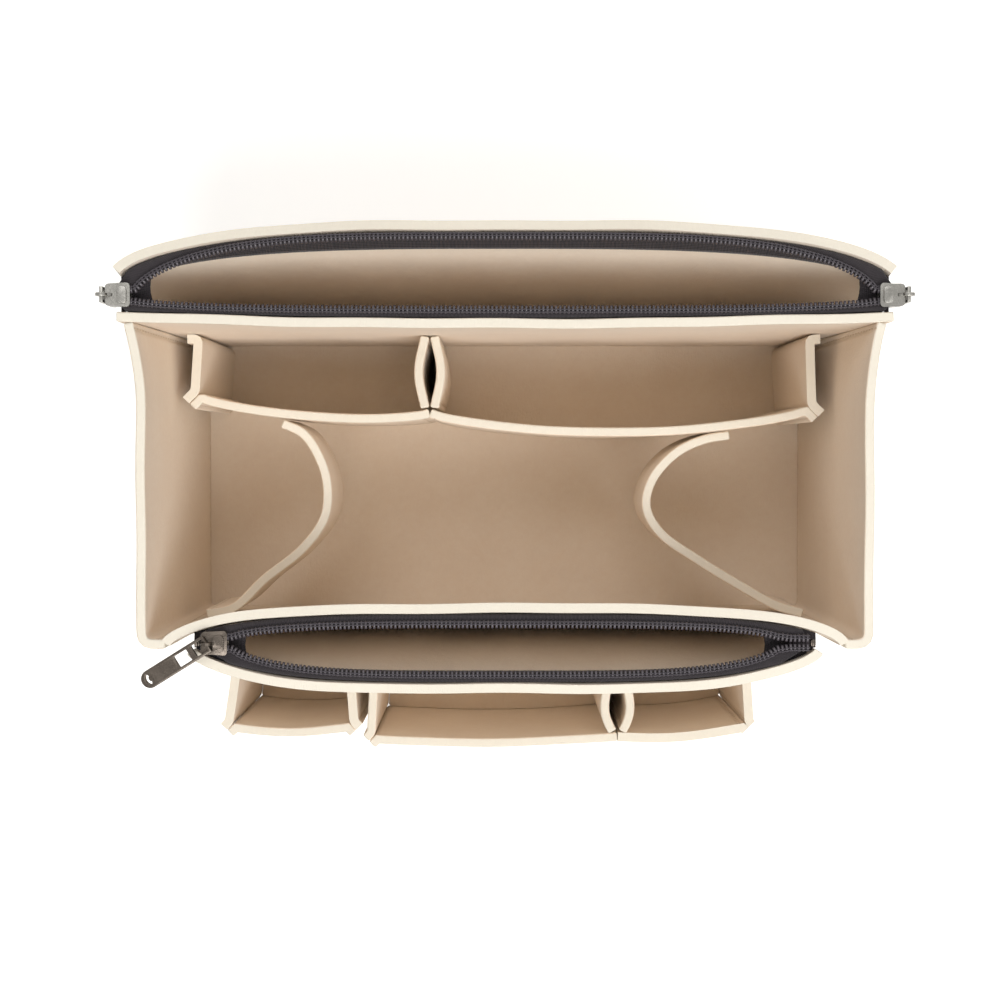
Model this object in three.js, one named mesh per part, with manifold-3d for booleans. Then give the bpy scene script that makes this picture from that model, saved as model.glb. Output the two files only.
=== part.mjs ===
// Felt purse organizer insert, modelled open and empty as it stands on a table.
// Millimetres, +Z up. The origin is the middle of the base panel's underside,
// the user faces +Y: the two-slider zip pocket is at the rear, the three open
// pockets hang on the front.
import * as THREE from 'three';
import { mergeVertices } from 'three/addons/utils/BufferGeometryUtils.js';
import Module from 'manifold-3d';

const wasm = await Module();
wasm.setup();

// Felt and sewing
const felt = 3.5;
const seamGap = 0.3;
const seamTab = 5;

// Overall body
const wallTop = 150;
const bodyHalfWidth = 131.5;
const mainDepth = 116.5;
const cornerRadius = 7;
const bulgePower = 1.7;
const bowPower = 4;

// Rear walls: the inner one is nearly straight, the outer one bellies out
const rearOverhang = 6.5;
const rearHalfWidth = bodyHalfWidth + rearOverhang;
const rearInnerMid = 56.1;
const rearInnerSag = 2.4;
const rearOuterBelly = 28.8;
const rearPower = 3;
const rearEndOpenShare = 0.03;
const rearSeamOpensAt = 80;

// Side walls flare where they meet the rear wall
const sideFlare = 4.2;
const sideFlareLength = 32;

// Front walls: the inner one bows into the main space, the outer one bellies out
const frontInnerInset = 10.5;
const frontInnerHalfWidth = bodyHalfWidth - frontInnerInset;
const frontInnerMid = rearInnerMid - mainDepth;
const frontInnerBowDepth = 12.9;
const frontInnerSoftness = 0.6;
const frontOuterInset = 9;
const frontOuterHalfWidth = frontInnerHalfWidth - frontOuterInset;
const frontOuterBelly = 13.6;
const frontOuterPower = 2.2;
const frontOuterSoftness = 0.7;
const frontSeamOpening = 4.5;
const frontSeamOpensAt = 90;

// Zips: tape sewn inside each mouth edge, its coil on the free edge
const tapeThickness = 0.7;
const tapeLegHeight = 13;
const tapeDrop = 0.6;
const coilPitch = 3;
const coilOnTape = 1.9;
const toothReach = 1;
const coilHeight = 1.8;
const coilWaistShare = 0.5;
const coilShoulderShare = 0.62;
const coilCrownShare = 0.15;
const coilBackShare = 0.7;
const meshHalf = 1.25;
const rearZipFromWall = 3.7;
const rearSliderInset = 1;
const rearStopInset = 0.4;
const rearTapeReach = { inner: 5.3, outer: 4.5 };
const frontZipFromWall = 0.5;
const frontSliderInset = 8.6;
const frontStopReach = 2.2;
const frontTapeReach = { inner: 6.2, outer: 5.6 };
const coilLead = 2;

// Sliders and pulls
const rearSlider = { nose: 8.8, tail: 7.9, length: 8.8, eyeInset: -1 };
const frontSlider = { nose: 9, tail: 8, length: 9.4, eyeInset: 2.2 };
const sliderCorner = 1.6;
const plateThickness = 1.1;
const sliderClearance = 0.3;
const flangeThickness = 0.6;
const dividerWidth = 1;
const dividerLength = 2.8;
const crownHeight = 0.9;
const crownInset = 1.2;
const crownSetback = 3;
const eyeThickness = 1.2;
const eyeRadius = 2.1;
const eyeHole = 1.25;
const eyeRise = 1.5;
const eyeFoot = 4.2;
const eyeHeel = 1.55;
const eyeArcAngle = 243;
const pullThickness = 1.2;
const pullBar = 0.5;
const pullRim = 1.1;
const pullSlotWidth = 0.9;
const pullSlotLength = 3;
const rearPull = { length: 25, width: 5.6, ring: 4.6, window: 4.4 };
const frontPull = { length: 26, width: 6.6, ring: 5, window: 5.2 };
const frontPullYaw = 34;
const frontPullSlope = 7;
const stopLength = 1.8;
const stopHeight = 2.4;

// Inner pockets on the rear wall
const innerPocketTop = 90;
const innerPocketsInset = { left: 12.5, right: 13.2 };
const innerLoopX = -29.1;
const innerLoopBowDepth = 2.4;
const innerLoopSoftness = 1.3;
const innerPocketDepth = { left: 25.6, loop: 32.8, right: 30.6 };
const innerLeftBowDepth = 4.4;
const innerRightBowDepth = 7.9;
const innerPocketSoftness = 0.7;
const gussetFlange = 4.2;

// Outer pockets on the front wall
const outerPocketTop = 88;
const outerPocketFoot = 4.5;
const outerPocketsInset = { left: 5.5, right: 17.5 };
const outerLeftWidth = 46.3;
const outerGapWidth = 9.2;
const outerLoopX = 44.2;
const outerLoopBowDepth = 3.1;
const outerLoopLean = 2;
const outerPocketDepth = { left: 34.3, centre: 38.8, loop: 39.1, right: 34.3 };
const outerGussetFlare = 2;
const wideGussetFlare = 4;
const outerSeamTab = 3;
const outerRightTab = 1.5;
const outerPocketBowDepth = 1.8;

// Holder straps: shares of the half width, and of the way from the front wall to the pockets
const strapFoot = 35;
const strapTop = 85;
const strapHalfWidth = bodyHalfWidth - felt;
const strapColumns = 18;
const leftStrapShares = [
  [-0.914, 0], [-0.836, 0.03], [-0.742, 0.17], [-0.625, 0.334], [-0.551, 0.51],
  [-0.543, 0.67], [-0.566, 0.81], [-0.617, 0.945], [-0.68, 1],
];
const rightStrapShares = [
  [0.914, 0], [0.836, 0.045], [0.734, 0.15], [0.594, 0.306], [0.477, 0.46],
  [0.4375, 0.6], [0.457, 0.757], [0.523, 0.9], [0.61, 0.976], [0.6875, 1],
];

// Smoothness of the curved sheets
const wallColumns = 22;
const wallSpreadAngle = 84;
const wallLevelShares = [0, 0.25, 0.45, 0.62, 0.76, 0.88, 1];
const filletSteps = 4;
const eyeSteps = 7;
const pullSteps = 6;
const bowSteps = 8;

const radians = THREE.MathUtils.degToRad;
const smooth = (from, to, value) => THREE.MathUtils.smoothstep(value, from, to);

// Share of the height above the base panel, from 0 at the seam to 1 at the top edge
const rise = (z) => (z - felt) / (wallTop - felt);

const rearInnerY = (x, z) => {
  const middle = 1 - (x / rearHalfWidth) ** 2;
  return rearInnerMid - rearInnerSag * middle * rise(z) ** bulgePower;
};

const rearOuterMid = rearInnerMid + felt + seamGap;
const rearOuterEnd = (z) => 1 - rearEndOpenShare * smooth(rearSeamOpensAt, wallTop, z);
const rearOuterY = (share, z) => {
  const roundness = (1 - Math.abs(share) ** rearPower) ** (1 / rearPower);
  return rearOuterMid + rearOuterBelly * roundness * rise(z) ** bulgePower;
};

const frontInnerY = (x, z) => {
  const share = Math.min(1, Math.abs(x / frontInnerHalfWidth));
  const roundness = (1 - share ** bowPower) ** frontInnerSoftness;
  return frontInnerMid + frontInnerBowDepth * roundness * rise(z) ** bulgePower;
};

const frontOuterEndY = (z) => {
  const opening = frontSeamOpening * smooth(frontSeamOpensAt, wallTop, z);
  return frontInnerY(frontOuterHalfWidth, z) - felt - seamGap - opening;
};
const frontOuterY = (x, z) => {
  const share = Math.min(1, Math.abs(x / frontOuterHalfWidth));
  const roundness = (1 - share ** bowPower) ** frontOuterSoftness;
  return frontOuterEndY(z) - frontOuterBelly * roundness * rise(z) ** frontOuterPower;
};

// The zip lines, and where the tapes' free edges lie in the middle of each mouth
const rearZip = {
  y: rearOuterMid + rearZipFromWall,
  sliderX: rearHalfWidth - rearSliderInset,
  innerMouth: rearInnerMid - rearInnerSag + rearTapeReach.inner,
  outerMouth: rearOuterMid + rearOuterBelly - rearTapeReach.outer,
  tail: -rearStopInset,
  slider: rearSlider,
};
const frontZip = {
  y: frontInnerMid + frontZipFromWall,
  sliderX: frontOuterHalfWidth - frontSliderInset,
  innerMouth: frontInnerMid + frontInnerBowDepth - frontTapeReach.inner,
  outerMouth: frontOuterY(0, wallTop) + frontTapeReach.outer,
  tail: frontStopReach,
  slider: frontSlider,
};

// A closed body from rings of points: each ring is one cross-section in order
function loft(rings, profile) {
  const count = profile.length;
  const positions = rings.flat().flatMap((point) => point);
  const caps = THREE.ShapeUtils.triangulateShape(profile.map(([a, b]) => new THREE.Vector2(a, b)), []);
  const faces = [];
  const last = (rings.length - 1) * count;
  for (const [a, b, c] of caps) {
    faces.push(a, c, b);
    faces.push(last + a, last + b, last + c);
  }
  for (let ring = 0; ring + 1 < rings.length; ring += 1) {
    for (let side = 0; side < count; side += 1) {
      const next = (side + 1) % count;
      const near = ring * count;
      const far = near + count;
      faces.push(near + side, near + next, far + next);
      faces.push(near + side, far + next, far + side);
    }
  }
  return facingOut(positions, faces);
}

// Turns every face round if the body's volume comes out negative
function facingOut(positions, faces) {
  let volume = 0;
  const corner = (index) => new THREE.Vector3().fromArray(positions, index * 3);
  for (let face = 0; face < faces.length; face += 3) {
    const [a, b, c] = [corner(faces[face]), corner(faces[face + 1]), corner(faces[face + 2])];
    volume += a.dot(b.cross(c));
  }
  const geometry = new THREE.BufferGeometry();
  geometry.setAttribute('position', new THREE.Float32BufferAttribute(positions, 3));
  geometry.setIndex(volume > 0 ? faces : faces.reverse());
  return geometry;
}

// Unit normals of a plan line, to the left of its direction
function planNormals(line, endNormals) {
  return line.map((point, index) => {
    const isEnd = index === 0 || index === line.length - 1;
    if (isEnd && endNormals && endNormals[Math.sign(index)]) {
      return endNormals[Math.sign(index)];
    }
    const before = line[Math.max(0, index - 1)];
    const after = line[Math.min(line.length - 1, index + 1)];
    const along = new THREE.Vector2(after[0] - before[0], after[1] - before[1]).normalize();
    return [-along.y, along.x];
  });
}

// A standing felt sheet: planAt(z) gives its middle line in plan at each level
function sheet(planAt, levels, endNormals = null) {
  const half = felt / 2;
  const columns = planAt(levels[0]).length;
  const positions = [];
  for (const level of levels) {
    const line = planAt(level);
    const normals = planNormals(line, endNormals);
    for (const side of [half, -half]) {
      line.forEach(([x, y], index) => {
        positions.push(x + normals[index][0] * side, y + normals[index][1] * side, level);
      });
    }
  }
  const at = (level, side, column) => (level * 2 + side) * columns + column;
  const faces = [];
  const quad = (a, b, c, d) => faces.push(a, b, c, a, c, d);
  const top = levels.length - 1;
  for (let column = 0; column + 1 < columns; column += 1) {
    for (let level = 0; level < top; level += 1) {
      const [up, next] = [level + 1, column + 1];
      quad(at(level, 0, column), at(up, 0, column), at(up, 0, next), at(level, 0, next));
      quad(at(level, 1, column), at(level, 1, next), at(up, 1, next), at(up, 1, column));
    }
    quad(at(0, 0, column), at(0, 0, column + 1), at(0, 1, column + 1), at(0, 1, column));
    quad(at(top, 0, column), at(top, 1, column), at(top, 1, column + 1), at(top, 0, column + 1));
  }
  const end = columns - 1;
  for (let level = 0; level < top; level += 1) {
    quad(at(level, 0, 0), at(level, 1, 0), at(level + 1, 1, 0), at(level + 1, 0, 0));
    quad(at(level, 0, end), at(level + 1, 0, end), at(level + 1, 1, end), at(level, 1, end));
  }
  return facingOut(positions, faces);
}

// A plan line through corner points, with each inner corner rounded
function filleted(points, radius) {
  const line = [points[0]];
  for (let index = 1; index + 1 < points.length; index += 1) {
    const corner = new THREE.Vector2(...points[index]);
    const back = new THREE.Vector2(...points[index - 1]).sub(corner);
    const ahead = new THREE.Vector2(...points[index + 1]).sub(corner);
    const turn = Math.PI - Math.acos(back.clone().normalize().dot(ahead.clone().normalize()));
    const reach = Math.min(radius * Math.tan(turn / 2), back.length() / 2, ahead.length() / 2);
    const start = corner.clone().add(back.setLength(reach));
    const finish = corner.clone().add(ahead.setLength(reach));
    const curve = new THREE.QuadraticBezierCurve(start, corner, finish);
    line.push(...curve.getPoints(filletSteps).map((point) => [point.x, point.y]));
  }
  line.push(points[points.length - 1]);
  return line;
}

// A straight plan line that bows sideways: a softness under one makes the bow fuller
// at its ends, and a lean over one moves its fullest place towards the finish
function bowed([x0, y0], [x1, y1], bowX, bowY, softness = 1, lean = 1) {
  return Array.from({ length: bowSteps + 1 }, (_, index) => {
    const share = index / bowSteps;
    const bow = Math.sin(Math.PI * share ** lean) ** softness;
    return [x0 + (x1 - x0) * share + bowX * bow, y0 + (y1 - y0) * share + bowY * bow];
  });
}

const mirrored = (line) => line.map(([x, y]) => [-x, y]);
const spread = (count, halfAngle) => Array.from({ length: count + 1 }, (_, index) => {
  return Math.sin(halfAngle * (2 * index / count - 1)) / Math.sin(halfAngle);
});
const wallShares = spread(wallColumns, radians(wallSpreadAngle));
const wallLevels = wallLevelShares.map((share) => felt + (wallTop - felt) * share);

function solid(geometry) {
  const bare = geometry.clone();
  bare.deleteAttribute('normal');
  bare.deleteAttribute('uv');
  const merged = mergeVertices(bare);
  return new wasm.Manifold(new wasm.Mesh({
    numProp: 3,
    vertProperties: new Float32Array(merged.attributes.position.array),
    triVerts: new Uint32Array(merged.index.array),
  }));
}

function geometryOf(body) {
  const { vertProperties, triVerts } = body.getMesh();
  const geometry = new THREE.BufferGeometry();
  geometry.setAttribute('position', new THREE.BufferAttribute(new Float32Array(vertProperties), 3));
  geometry.setIndex(new THREE.BufferAttribute(new Uint32Array(triVerts), 1));
  return geometry;
}

// Materials
const finishes = {
  felt: { color: '#ede3d2', roughness: 0.95, metalness: 0 },
  tape: { color: '#37333a', roughness: 0.85, metalness: 0 },
  coil: { color: '#4a454b', roughness: 0.45, metalness: 0 },
  nickel: { color: '#cfccc6', roughness: 0.28, metalness: 1 },
  gunmetal: { color: '#7d766d', roughness: 0.32, metalness: 1 },
};

const organizer = new THREE.Group();

function addPiece(name, geometry, finish) {
  const mesh = new THREE.Mesh(geometry, new THREE.MeshStandardMaterial(finishes[finish]));
  mesh.name = name;
  organizer.add(mesh);
  return mesh;
}

// Base panel
function basePanel() {
  const rear = rearOuterMid + felt / 2;
  const front = frontOuterEndY(felt) - felt / 2;
  const outline = filleted([
    [0, front], [bodyHalfWidth, front], [bodyHalfWidth, rear],
    [-bodyHalfWidth, rear], [-bodyHalfWidth, front], [0, front],
  ], cornerRadius);
  outline.pop();
  const shape = new THREE.Shape(outline.map(([x, y]) => new THREE.Vector2(x, y)));
  return new THREE.ExtrudeGeometry(shape, { depth: felt, bevelEnabled: false });
}

addPiece('bottom_panel', basePanel(), 'felt');

// Rear walls
const facingRear = [[0, 1], [0, 1]];
const rearInnerPlan = (z) => wallShares.map((share) => {
  const x = share * rearHalfWidth;
  return [x, rearInnerY(x, z)];
});
const rearOuterPlan = (z) => wallShares.map((share) => {
  return [share * rearHalfWidth, rearOuterY(share * rearOuterEnd(z), z)];
});
addPiece('rear_inner_wall', sheet(rearInnerPlan, wallLevels, facingRear), 'felt');
addPiece('rear_outer_wall', sheet(rearOuterPlan, wallLevels), 'felt');

// Side walls, each bent round the front corner to meet the front inner wall
function sideWallPlan(z) {
  const line = bodyHalfWidth - felt / 2;
  const start = rearInnerMid - felt / 2 - seamGap;
  const flareFrom = start - sideFlareLength;
  const points = [];
  for (let index = 0; index < bowSteps; index += 1) {
    const share = 1 - index / bowSteps;
    const flare = sideFlare * share ** 2 * rise(z) ** bulgePower;
    points.push([line + flare, flareFrom + sideFlareLength * share]);
  }
  const rearFace = rearInnerY(points[0][0], z) - felt / 2 - seamGap;
  points[0][1] = rearFace;
  const bend = filleted([
    [line, flareFrom], [line, frontInnerMid], [frontInnerHalfWidth + seamGap, frontInnerMid],
  ], cornerRadius);
  return [...points, ...bend].reverse();
}
addPiece('right_side_wall', sheet(sideWallPlan, wallLevels, [[0, 1], [-1, 0]]), 'felt');
addPiece('left_side_wall', sheet(
  (z) => mirrored(sideWallPlan(z)), wallLevels, [[0, -1], [-1, 0]],
), 'felt');

// Front walls
const frontInnerPlan = (z) => wallShares.map((share) => {
  const x = share * frontInnerHalfWidth;
  return [x, frontInnerY(x, z)];
});
const frontOuterPlan = (z) => wallShares.map((share) => {
  const x = share * frontOuterHalfWidth;
  return [x, frontOuterY(x, z)];
});
addPiece('front_inner_wall', sheet(frontInnerPlan, wallLevels, facingRear), 'felt');
addPiece('front_outer_wall', sheet(frontOuterPlan, wallLevels, facingRear), 'felt');

// Inner pockets: each has a front panel, and gussets that reach back to the rear wall
const rearWallFace = (x) => {
  const faces = [felt, innerPocketTop].map((z) => rearInnerY(x, z) - felt / 2);
  return Math.min(...faces) - seamGap;
};
const tabOffset = (felt + seamGap) / 2;
const diagonal = Math.SQRT1_2;

// Two sheets pinched together at an outside corner, both running out along the diagonal
function pinchedCorner([x, y], outX, outY, tab) {
  const tip = [x + outX * tab * diagonal, y + outY * tab * diagonal];
  const shiftX = outX * tabOffset * diagonal;
  const shiftY = outY * tabOffset * diagonal;
  return {
    front: [[x - shiftX, y + shiftY], [tip[0] - shiftX, tip[1] + shiftY]],
    side: [[x + shiftX, y - shiftY], [tip[0] + shiftX, tip[1] - shiftY]],
  };
}

function gussetWithFlange(x, outX, corner, levels) {
  const wallY = rearWallFace(x) - felt / 2;
  return sheet(() => filleted([
    [x + outX * gussetFlange, wallY], [x, wallY], corner.side[0], corner.side[1],
  ], felt), levels);
}

const innerLevels = [felt, innerPocketTop];
const innerPocketsLeft = innerPocketsInset.left - bodyHalfWidth;
const innerPocketsRight = bodyHalfWidth - innerPocketsInset.right;
const innerLeftFront = rearInnerMid - innerPocketDepth.left;
const innerRightFront = rearInnerMid - innerPocketDepth.right;
const innerLeftCorner = pinchedCorner([innerPocketsLeft, innerLeftFront], -1, -1, seamTab);
const innerRightCorner = pinchedCorner([innerPocketsRight, innerRightFront], 1, -1, seamTab);
addPiece('inner_left_pocket_left_gusset', gussetWithFlange(
  innerPocketsLeft, -1, innerLeftCorner, innerLevels,
), 'felt');
addPiece('inner_right_pocket_right_gusset', gussetWithFlange(
  innerPocketsRight, 1, innerRightCorner, innerLevels,
), 'felt');

// The two middle gussets bow apart and leave a narrow loop between them
const loopSide = (felt + seamGap) / 2;
const loopFront = rearInnerMid - innerPocketDepth.loop;
const loopGusset = (side) => bowed(
  [innerLoopX + side * loopSide, loopFront + felt / 2 + seamGap],
  [innerLoopX + side * loopSide, rearWallFace(innerLoopX)],
  side * innerLoopBowDepth, 0, innerLoopSoftness,
);
const facingLeft = [[-1, 0], [-1, 0]];
const facingRight = [[1, 0], [1, 0]];
addPiece('inner_left_pocket_right_gusset', sheet(() => loopGusset(-1), innerLevels, facingLeft), 'felt');
addPiece('inner_right_pocket_left_gusset', sheet(() => loopGusset(1), innerLevels, facingLeft), 'felt');

// The two front panels meet in front of the loop's gussets
const pocketEndX = seamGap / 2;
function pocketFront(cornerEnds, loopEnd, bow, levels, softness = 1) {
  const face = bowed(cornerEnds[0], loopEnd, 0, -bow, softness);
  const line = [cornerEnds[1], ...face];
  const across = Math.sign(loopEnd[0] - cornerEnds[0][0]);
  return sheet(() => line, levels, [null, [0, across]]);
}
addPiece('inner_left_pocket_front', pocketFront(
  innerLeftCorner.front, [innerLoopX - pocketEndX, loopFront], innerLeftBowDepth, innerLevels,
  innerPocketSoftness,
), 'felt');
addPiece('inner_right_pocket_front', pocketFront(
  innerRightCorner.front, [innerLoopX + pocketEndX, loopFront], innerRightBowDepth, innerLevels,
  innerPocketSoftness,
), 'felt');

// Outer pockets: open boxes on the front outer wall, whose rear edges follow its bulge
const frontWallFace = (x, z) => {
  const upper = Math.max(1, wallLevels.findIndex((level) => level >= z));
  const [low, high] = [wallLevels[upper - 1], wallLevels[upper]];
  const share = (z - low) / (high - low);
  const middle = THREE.MathUtils.lerp(frontOuterY(x, low), frontOuterY(x, high), share);
  return middle - felt / 2 - seamGap;
};
const outerFrontY = (depth) => frontOuterEndY(felt) - depth;
const outerLeftX = outerPocketsInset.left - frontOuterHalfWidth;
const outerLeftFarX = outerLeftX + outerLeftWidth;
const outerCentreX = outerLeftFarX + outerGapWidth;
const outerRightX = frontOuterHalfWidth - outerPocketsInset.right;
const outerLoopFront = outerFrontY(outerPocketDepth.loop);
const outerLevels = [
  outerPocketFoot,
  ...wallLevels.filter((level) => level > outerPocketFoot && level < outerPocketTop),
  outerPocketTop,
];

function outerGusset(corner, outX, flare) {
  const rearX = corner.side[0][0] - outX * flare;
  return sheet((z) => filleted([
    [rearX + outX * gussetFlange, frontWallFace(rearX, z) - felt / 2],
    [rearX, frontWallFace(rearX, z) - felt / 2],
    corner.side[0],
    corner.side[1],
  ], felt), outerLevels);
}

const outerLoopGusset = (side) => (z) => bowed(
  [outerLoopX + side * loopSide, frontWallFace(outerLoopX, z)],
  [outerLoopX + side * loopSide, outerLoopFront + felt / 2 + seamGap],
  side * outerLoopBowDepth, 0, 1, outerLoopLean,
);

const outerCorner = (x, depth, outX, tab) => pinchedCorner([x, outerFrontY(depth)], outX, -1, tab);
const outerLeftCorner = outerCorner(outerLeftX, outerPocketDepth.left, -1, outerSeamTab);
const outerLeftFarCorner = outerCorner(outerLeftFarX, outerPocketDepth.left, 1, outerSeamTab);
const outerCentreCorner = outerCorner(outerCentreX, outerPocketDepth.centre, -1, outerSeamTab);
const outerRightCorner = outerCorner(outerRightX, outerPocketDepth.right, 1, outerRightTab);
const outerLoopEnd = seamGap / 2;

const outerLeftFace = bowed(outerLeftCorner.front[0], outerLeftFarCorner.front[0], 0, -outerPocketBowDepth);
const outerLeftFront = [outerLeftCorner.front[1], ...outerLeftFace, outerLeftFarCorner.front[1]];
addPiece('outer_left_pocket_front', sheet(() => outerLeftFront, outerLevels), 'felt');
addPiece('outer_left_pocket_left_gusset', outerGusset(outerLeftCorner, -1, wideGussetFlare), 'felt');
addPiece('outer_left_pocket_right_gusset', outerGusset(outerLeftFarCorner, 1, outerGussetFlare), 'felt');
addPiece('outer_centre_pocket_front', pocketFront(
  outerCentreCorner.front, [outerLoopX - outerLoopEnd, outerLoopFront], outerPocketBowDepth, outerLevels,
), 'felt');
addPiece('outer_centre_pocket_left_gusset', outerGusset(outerCentreCorner, -1, outerGussetFlare), 'felt');
addPiece('outer_centre_pocket_right_gusset', sheet(
  outerLoopGusset(-1), outerLevels, facingRight,
), 'felt');
addPiece('outer_right_pocket_front', pocketFront(
  outerRightCorner.front, [outerLoopX + outerLoopEnd, outerLoopFront], outerPocketBowDepth, outerLevels,
), 'felt');
addPiece('outer_right_pocket_left_gusset', sheet(outerLoopGusset(1), outerLevels, facingRight), 'felt');
addPiece('outer_right_pocket_right_gusset', outerGusset(outerRightCorner, 1, outerGussetFlare), 'felt');

// Pocket bottoms lie inside the gussets, level with the pocket's foot. Their front edge
// follows the front panel. A side is a gusset's middle line in plan, from wall to front.
const bottomInset = felt / 2 + seamGap;
const bottomRear = (x) => frontWallFace(x, outerPocketFoot) - felt - seamGap;
function gussetSide(corner, outX, flare) {
  const frontX = corner.side[0][0];
  const wallX = frontX - outX * flare;
  const frontY = corner.front[0][1];
  const near = frontY + bottomInset;
  const lineX = THREE.MathUtils.mapLinear(near + felt, frontY, bottomRear(wallX), frontX, wallX);
  return [
    [wallX - outX * bottomInset, bottomRear(wallX)],
    [lineX - outX * bottomInset, near + felt],
    [frontX - outX * (bottomInset + felt), near],
  ];
}
function loopGussetSide(side) {
  const rear = bottomRear(outerLoopX);
  const line = outerLoopGusset(side)(outerPocketFoot);
  const inside = line.slice(1, -1).filter(([, y]) => y < rear);
  const points = inside.map(([x, y]) => [x + side * bottomInset, y]);
  const near = outerLoopFront + bottomInset;
  const nearX = outerLoopX + side * (loopSide + bottomInset);
  return [[points[0][0], rear], ...points, [nearX, near + seamGap]];
}
function pocketBottom(left, right, front) {
  const from = left[left.length - 1][0] + felt;
  const to = right[right.length - 1][0] - felt;
  const ahead = front.map(([x, y]) => [x, y + bottomInset]).filter(([x]) => x > from && x < to);
  ahead.sort((a, b) => a[0] - b[0]);
  const outline = [...left, ...ahead, ...right.slice().reverse()];
  const shape = new THREE.Shape(outline.map(([x, y]) => new THREE.Vector2(x, y)));
  const geometry = new THREE.ExtrudeGeometry(shape, { depth: felt, bevelEnabled: false });
  return geometry.translate(0, 0, outerPocketFoot);
}
const outerFace = (corner, loopEnd) => {
  return bowed(corner.front[0], [outerLoopX + loopEnd, outerLoopFront], 0, -outerPocketBowDepth);
};
addPiece('outer_left_pocket_bottom', pocketBottom(
  gussetSide(outerLeftCorner, -1, wideGussetFlare),
  gussetSide(outerLeftFarCorner, 1, outerGussetFlare),
  outerLeftFace,
), 'felt');
addPiece('outer_centre_pocket_bottom', pocketBottom(
  gussetSide(outerCentreCorner, -1, outerGussetFlare), loopGussetSide(-1),
  outerFace(outerCentreCorner, -outerLoopEnd),
), 'felt');
addPiece('outer_right_pocket_bottom', pocketBottom(
  loopGussetSide(1), gussetSide(outerRightCorner, 1, outerGussetFlare),
  outerFace(outerRightCorner, outerLoopEnd),
), 'felt');

// Holder straps: upright bands that curve from the front corners to the inner pockets
function strap(shares, pocketFaceY) {
  const frontX = shares[0][0] * strapHalfWidth;
  const start = frontInnerY(frontX, strapTop) + felt + seamGap;
  const finish = pocketFaceY - felt - seamGap;
  const points = shares.map(([shareX, shareY]) => {
    return new THREE.Vector3(shareX * strapHalfWidth, start + (finish - start) * shareY, 0);
  });
  const curve = new THREE.CatmullRomCurve3(points, false, 'centripetal');
  const line = curve.getSpacedPoints(strapColumns).map((point) => [point.x, point.y]);
  return sheet(() => line, [strapFoot, strapTop]);
}
const pocketLineY = (from, to, bow, x) => {
  const share = (x - from[0]) / (to[0] - from[0]);
  return from[1] + (to[1] - from[1]) * share - bow * Math.sin(Math.PI * share) ** innerPocketSoftness;
};
const leftStrapEnd = leftStrapShares[leftStrapShares.length - 1][0] * strapHalfWidth;
const rightStrapEnd = rightStrapShares[rightStrapShares.length - 1][0] * strapHalfWidth;
const leftFaceY = pocketLineY(
  innerLeftCorner.front[0], [innerLoopX - pocketEndX, loopFront], innerLeftBowDepth, leftStrapEnd,
);
const rightFaceY = pocketLineY(
  innerRightCorner.front[0], [innerLoopX + pocketEndX, loopFront], innerRightBowDepth, rightStrapEnd,
);
addPiece('left_holder_strap', strap(leftStrapShares, leftFaceY), 'felt');
addPiece('right_holder_strap', strap(rightStrapShares, rightFaceY), 'felt');

// Zip tapes: an L that is sewn to the wall by its leg and lies flat towards the mouth
const tapeTop = wallTop - tapeDrop;
const tapeFoot = tapeTop - tapeLegHeight;
const noseHalf = dividerWidth / 2 + sliderClearance + toothReach;

// Distance of a coil's tape edge from the zip line: wide in the mouth, meshed at the sliders
function edgeOffset(zip, mouth, x) {
  const nose = zip.sliderX - zip.slider.length / 2 - coilLead;
  const reach = Math.abs(x);
  if (reach >= nose) {
    const closing = Math.max(0, reach - nose - coilLead) / dividerLength;
    return THREE.MathUtils.lerp(noseHalf, meshHalf, Math.min(1, closing));
  }
  const open = Math.abs(mouth - zip.y) - noseHalf;
  return noseHalf + open * (1 - (reach / nose) ** bowPower) ** frontOuterSoftness;
}
const edgeEnd = (zip) => zip.sliderX + zip.slider.length / 2 + zip.tail - stopLength;
const edgeY = (zip, mouth, x) => zip.y + Math.sign(mouth - zip.y) * edgeOffset(zip, mouth, x);

function zipTape(zip, mouth, wallPlan, side, skip) {
  const foot = wallPlan(tapeFoot);
  const head = wallPlan(tapeTop);
  const footNormals = planNormals(foot, facingRear);
  const headNormals = planNormals(head, facingRear);
  const columns = head.map((point, index) => index).slice(skip, head.length - skip);
  const widest = Math.abs(head[skip][0]);
  const near = felt / 2 + seamGap;
  const off = (line, normals, index, distance) => {
    return [0, 1].map((axis) => line[index][axis] + normals[index][axis] * side * distance);
  };
  const rings = columns.map((index) => {
    const x = head[index][0] / widest * edgeEnd(zip);
    const y = edgeY(zip, mouth, x);
    const flapUnder = tapeTop - tapeThickness;
    return [
      [...off(foot, footNormals, index, near), tapeFoot],
      [...off(foot, footNormals, index, near + tapeThickness), tapeFoot],
      [...off(head, headNormals, index, near + tapeThickness), flapUnder],
      [x, y, flapUnder],
      [x, y, tapeTop],
      [...off(head, headNormals, index, near), tapeTop],
    ];
  });
  const profile = [
    [0, 0], [tapeThickness, 0], [tapeThickness, tapeLegHeight - tapeThickness],
    [coilPitch, tapeLegHeight - tapeThickness], [coilPitch, tapeLegHeight], [0, tapeLegHeight],
  ];
  return loft(rings, profile);
}

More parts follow.
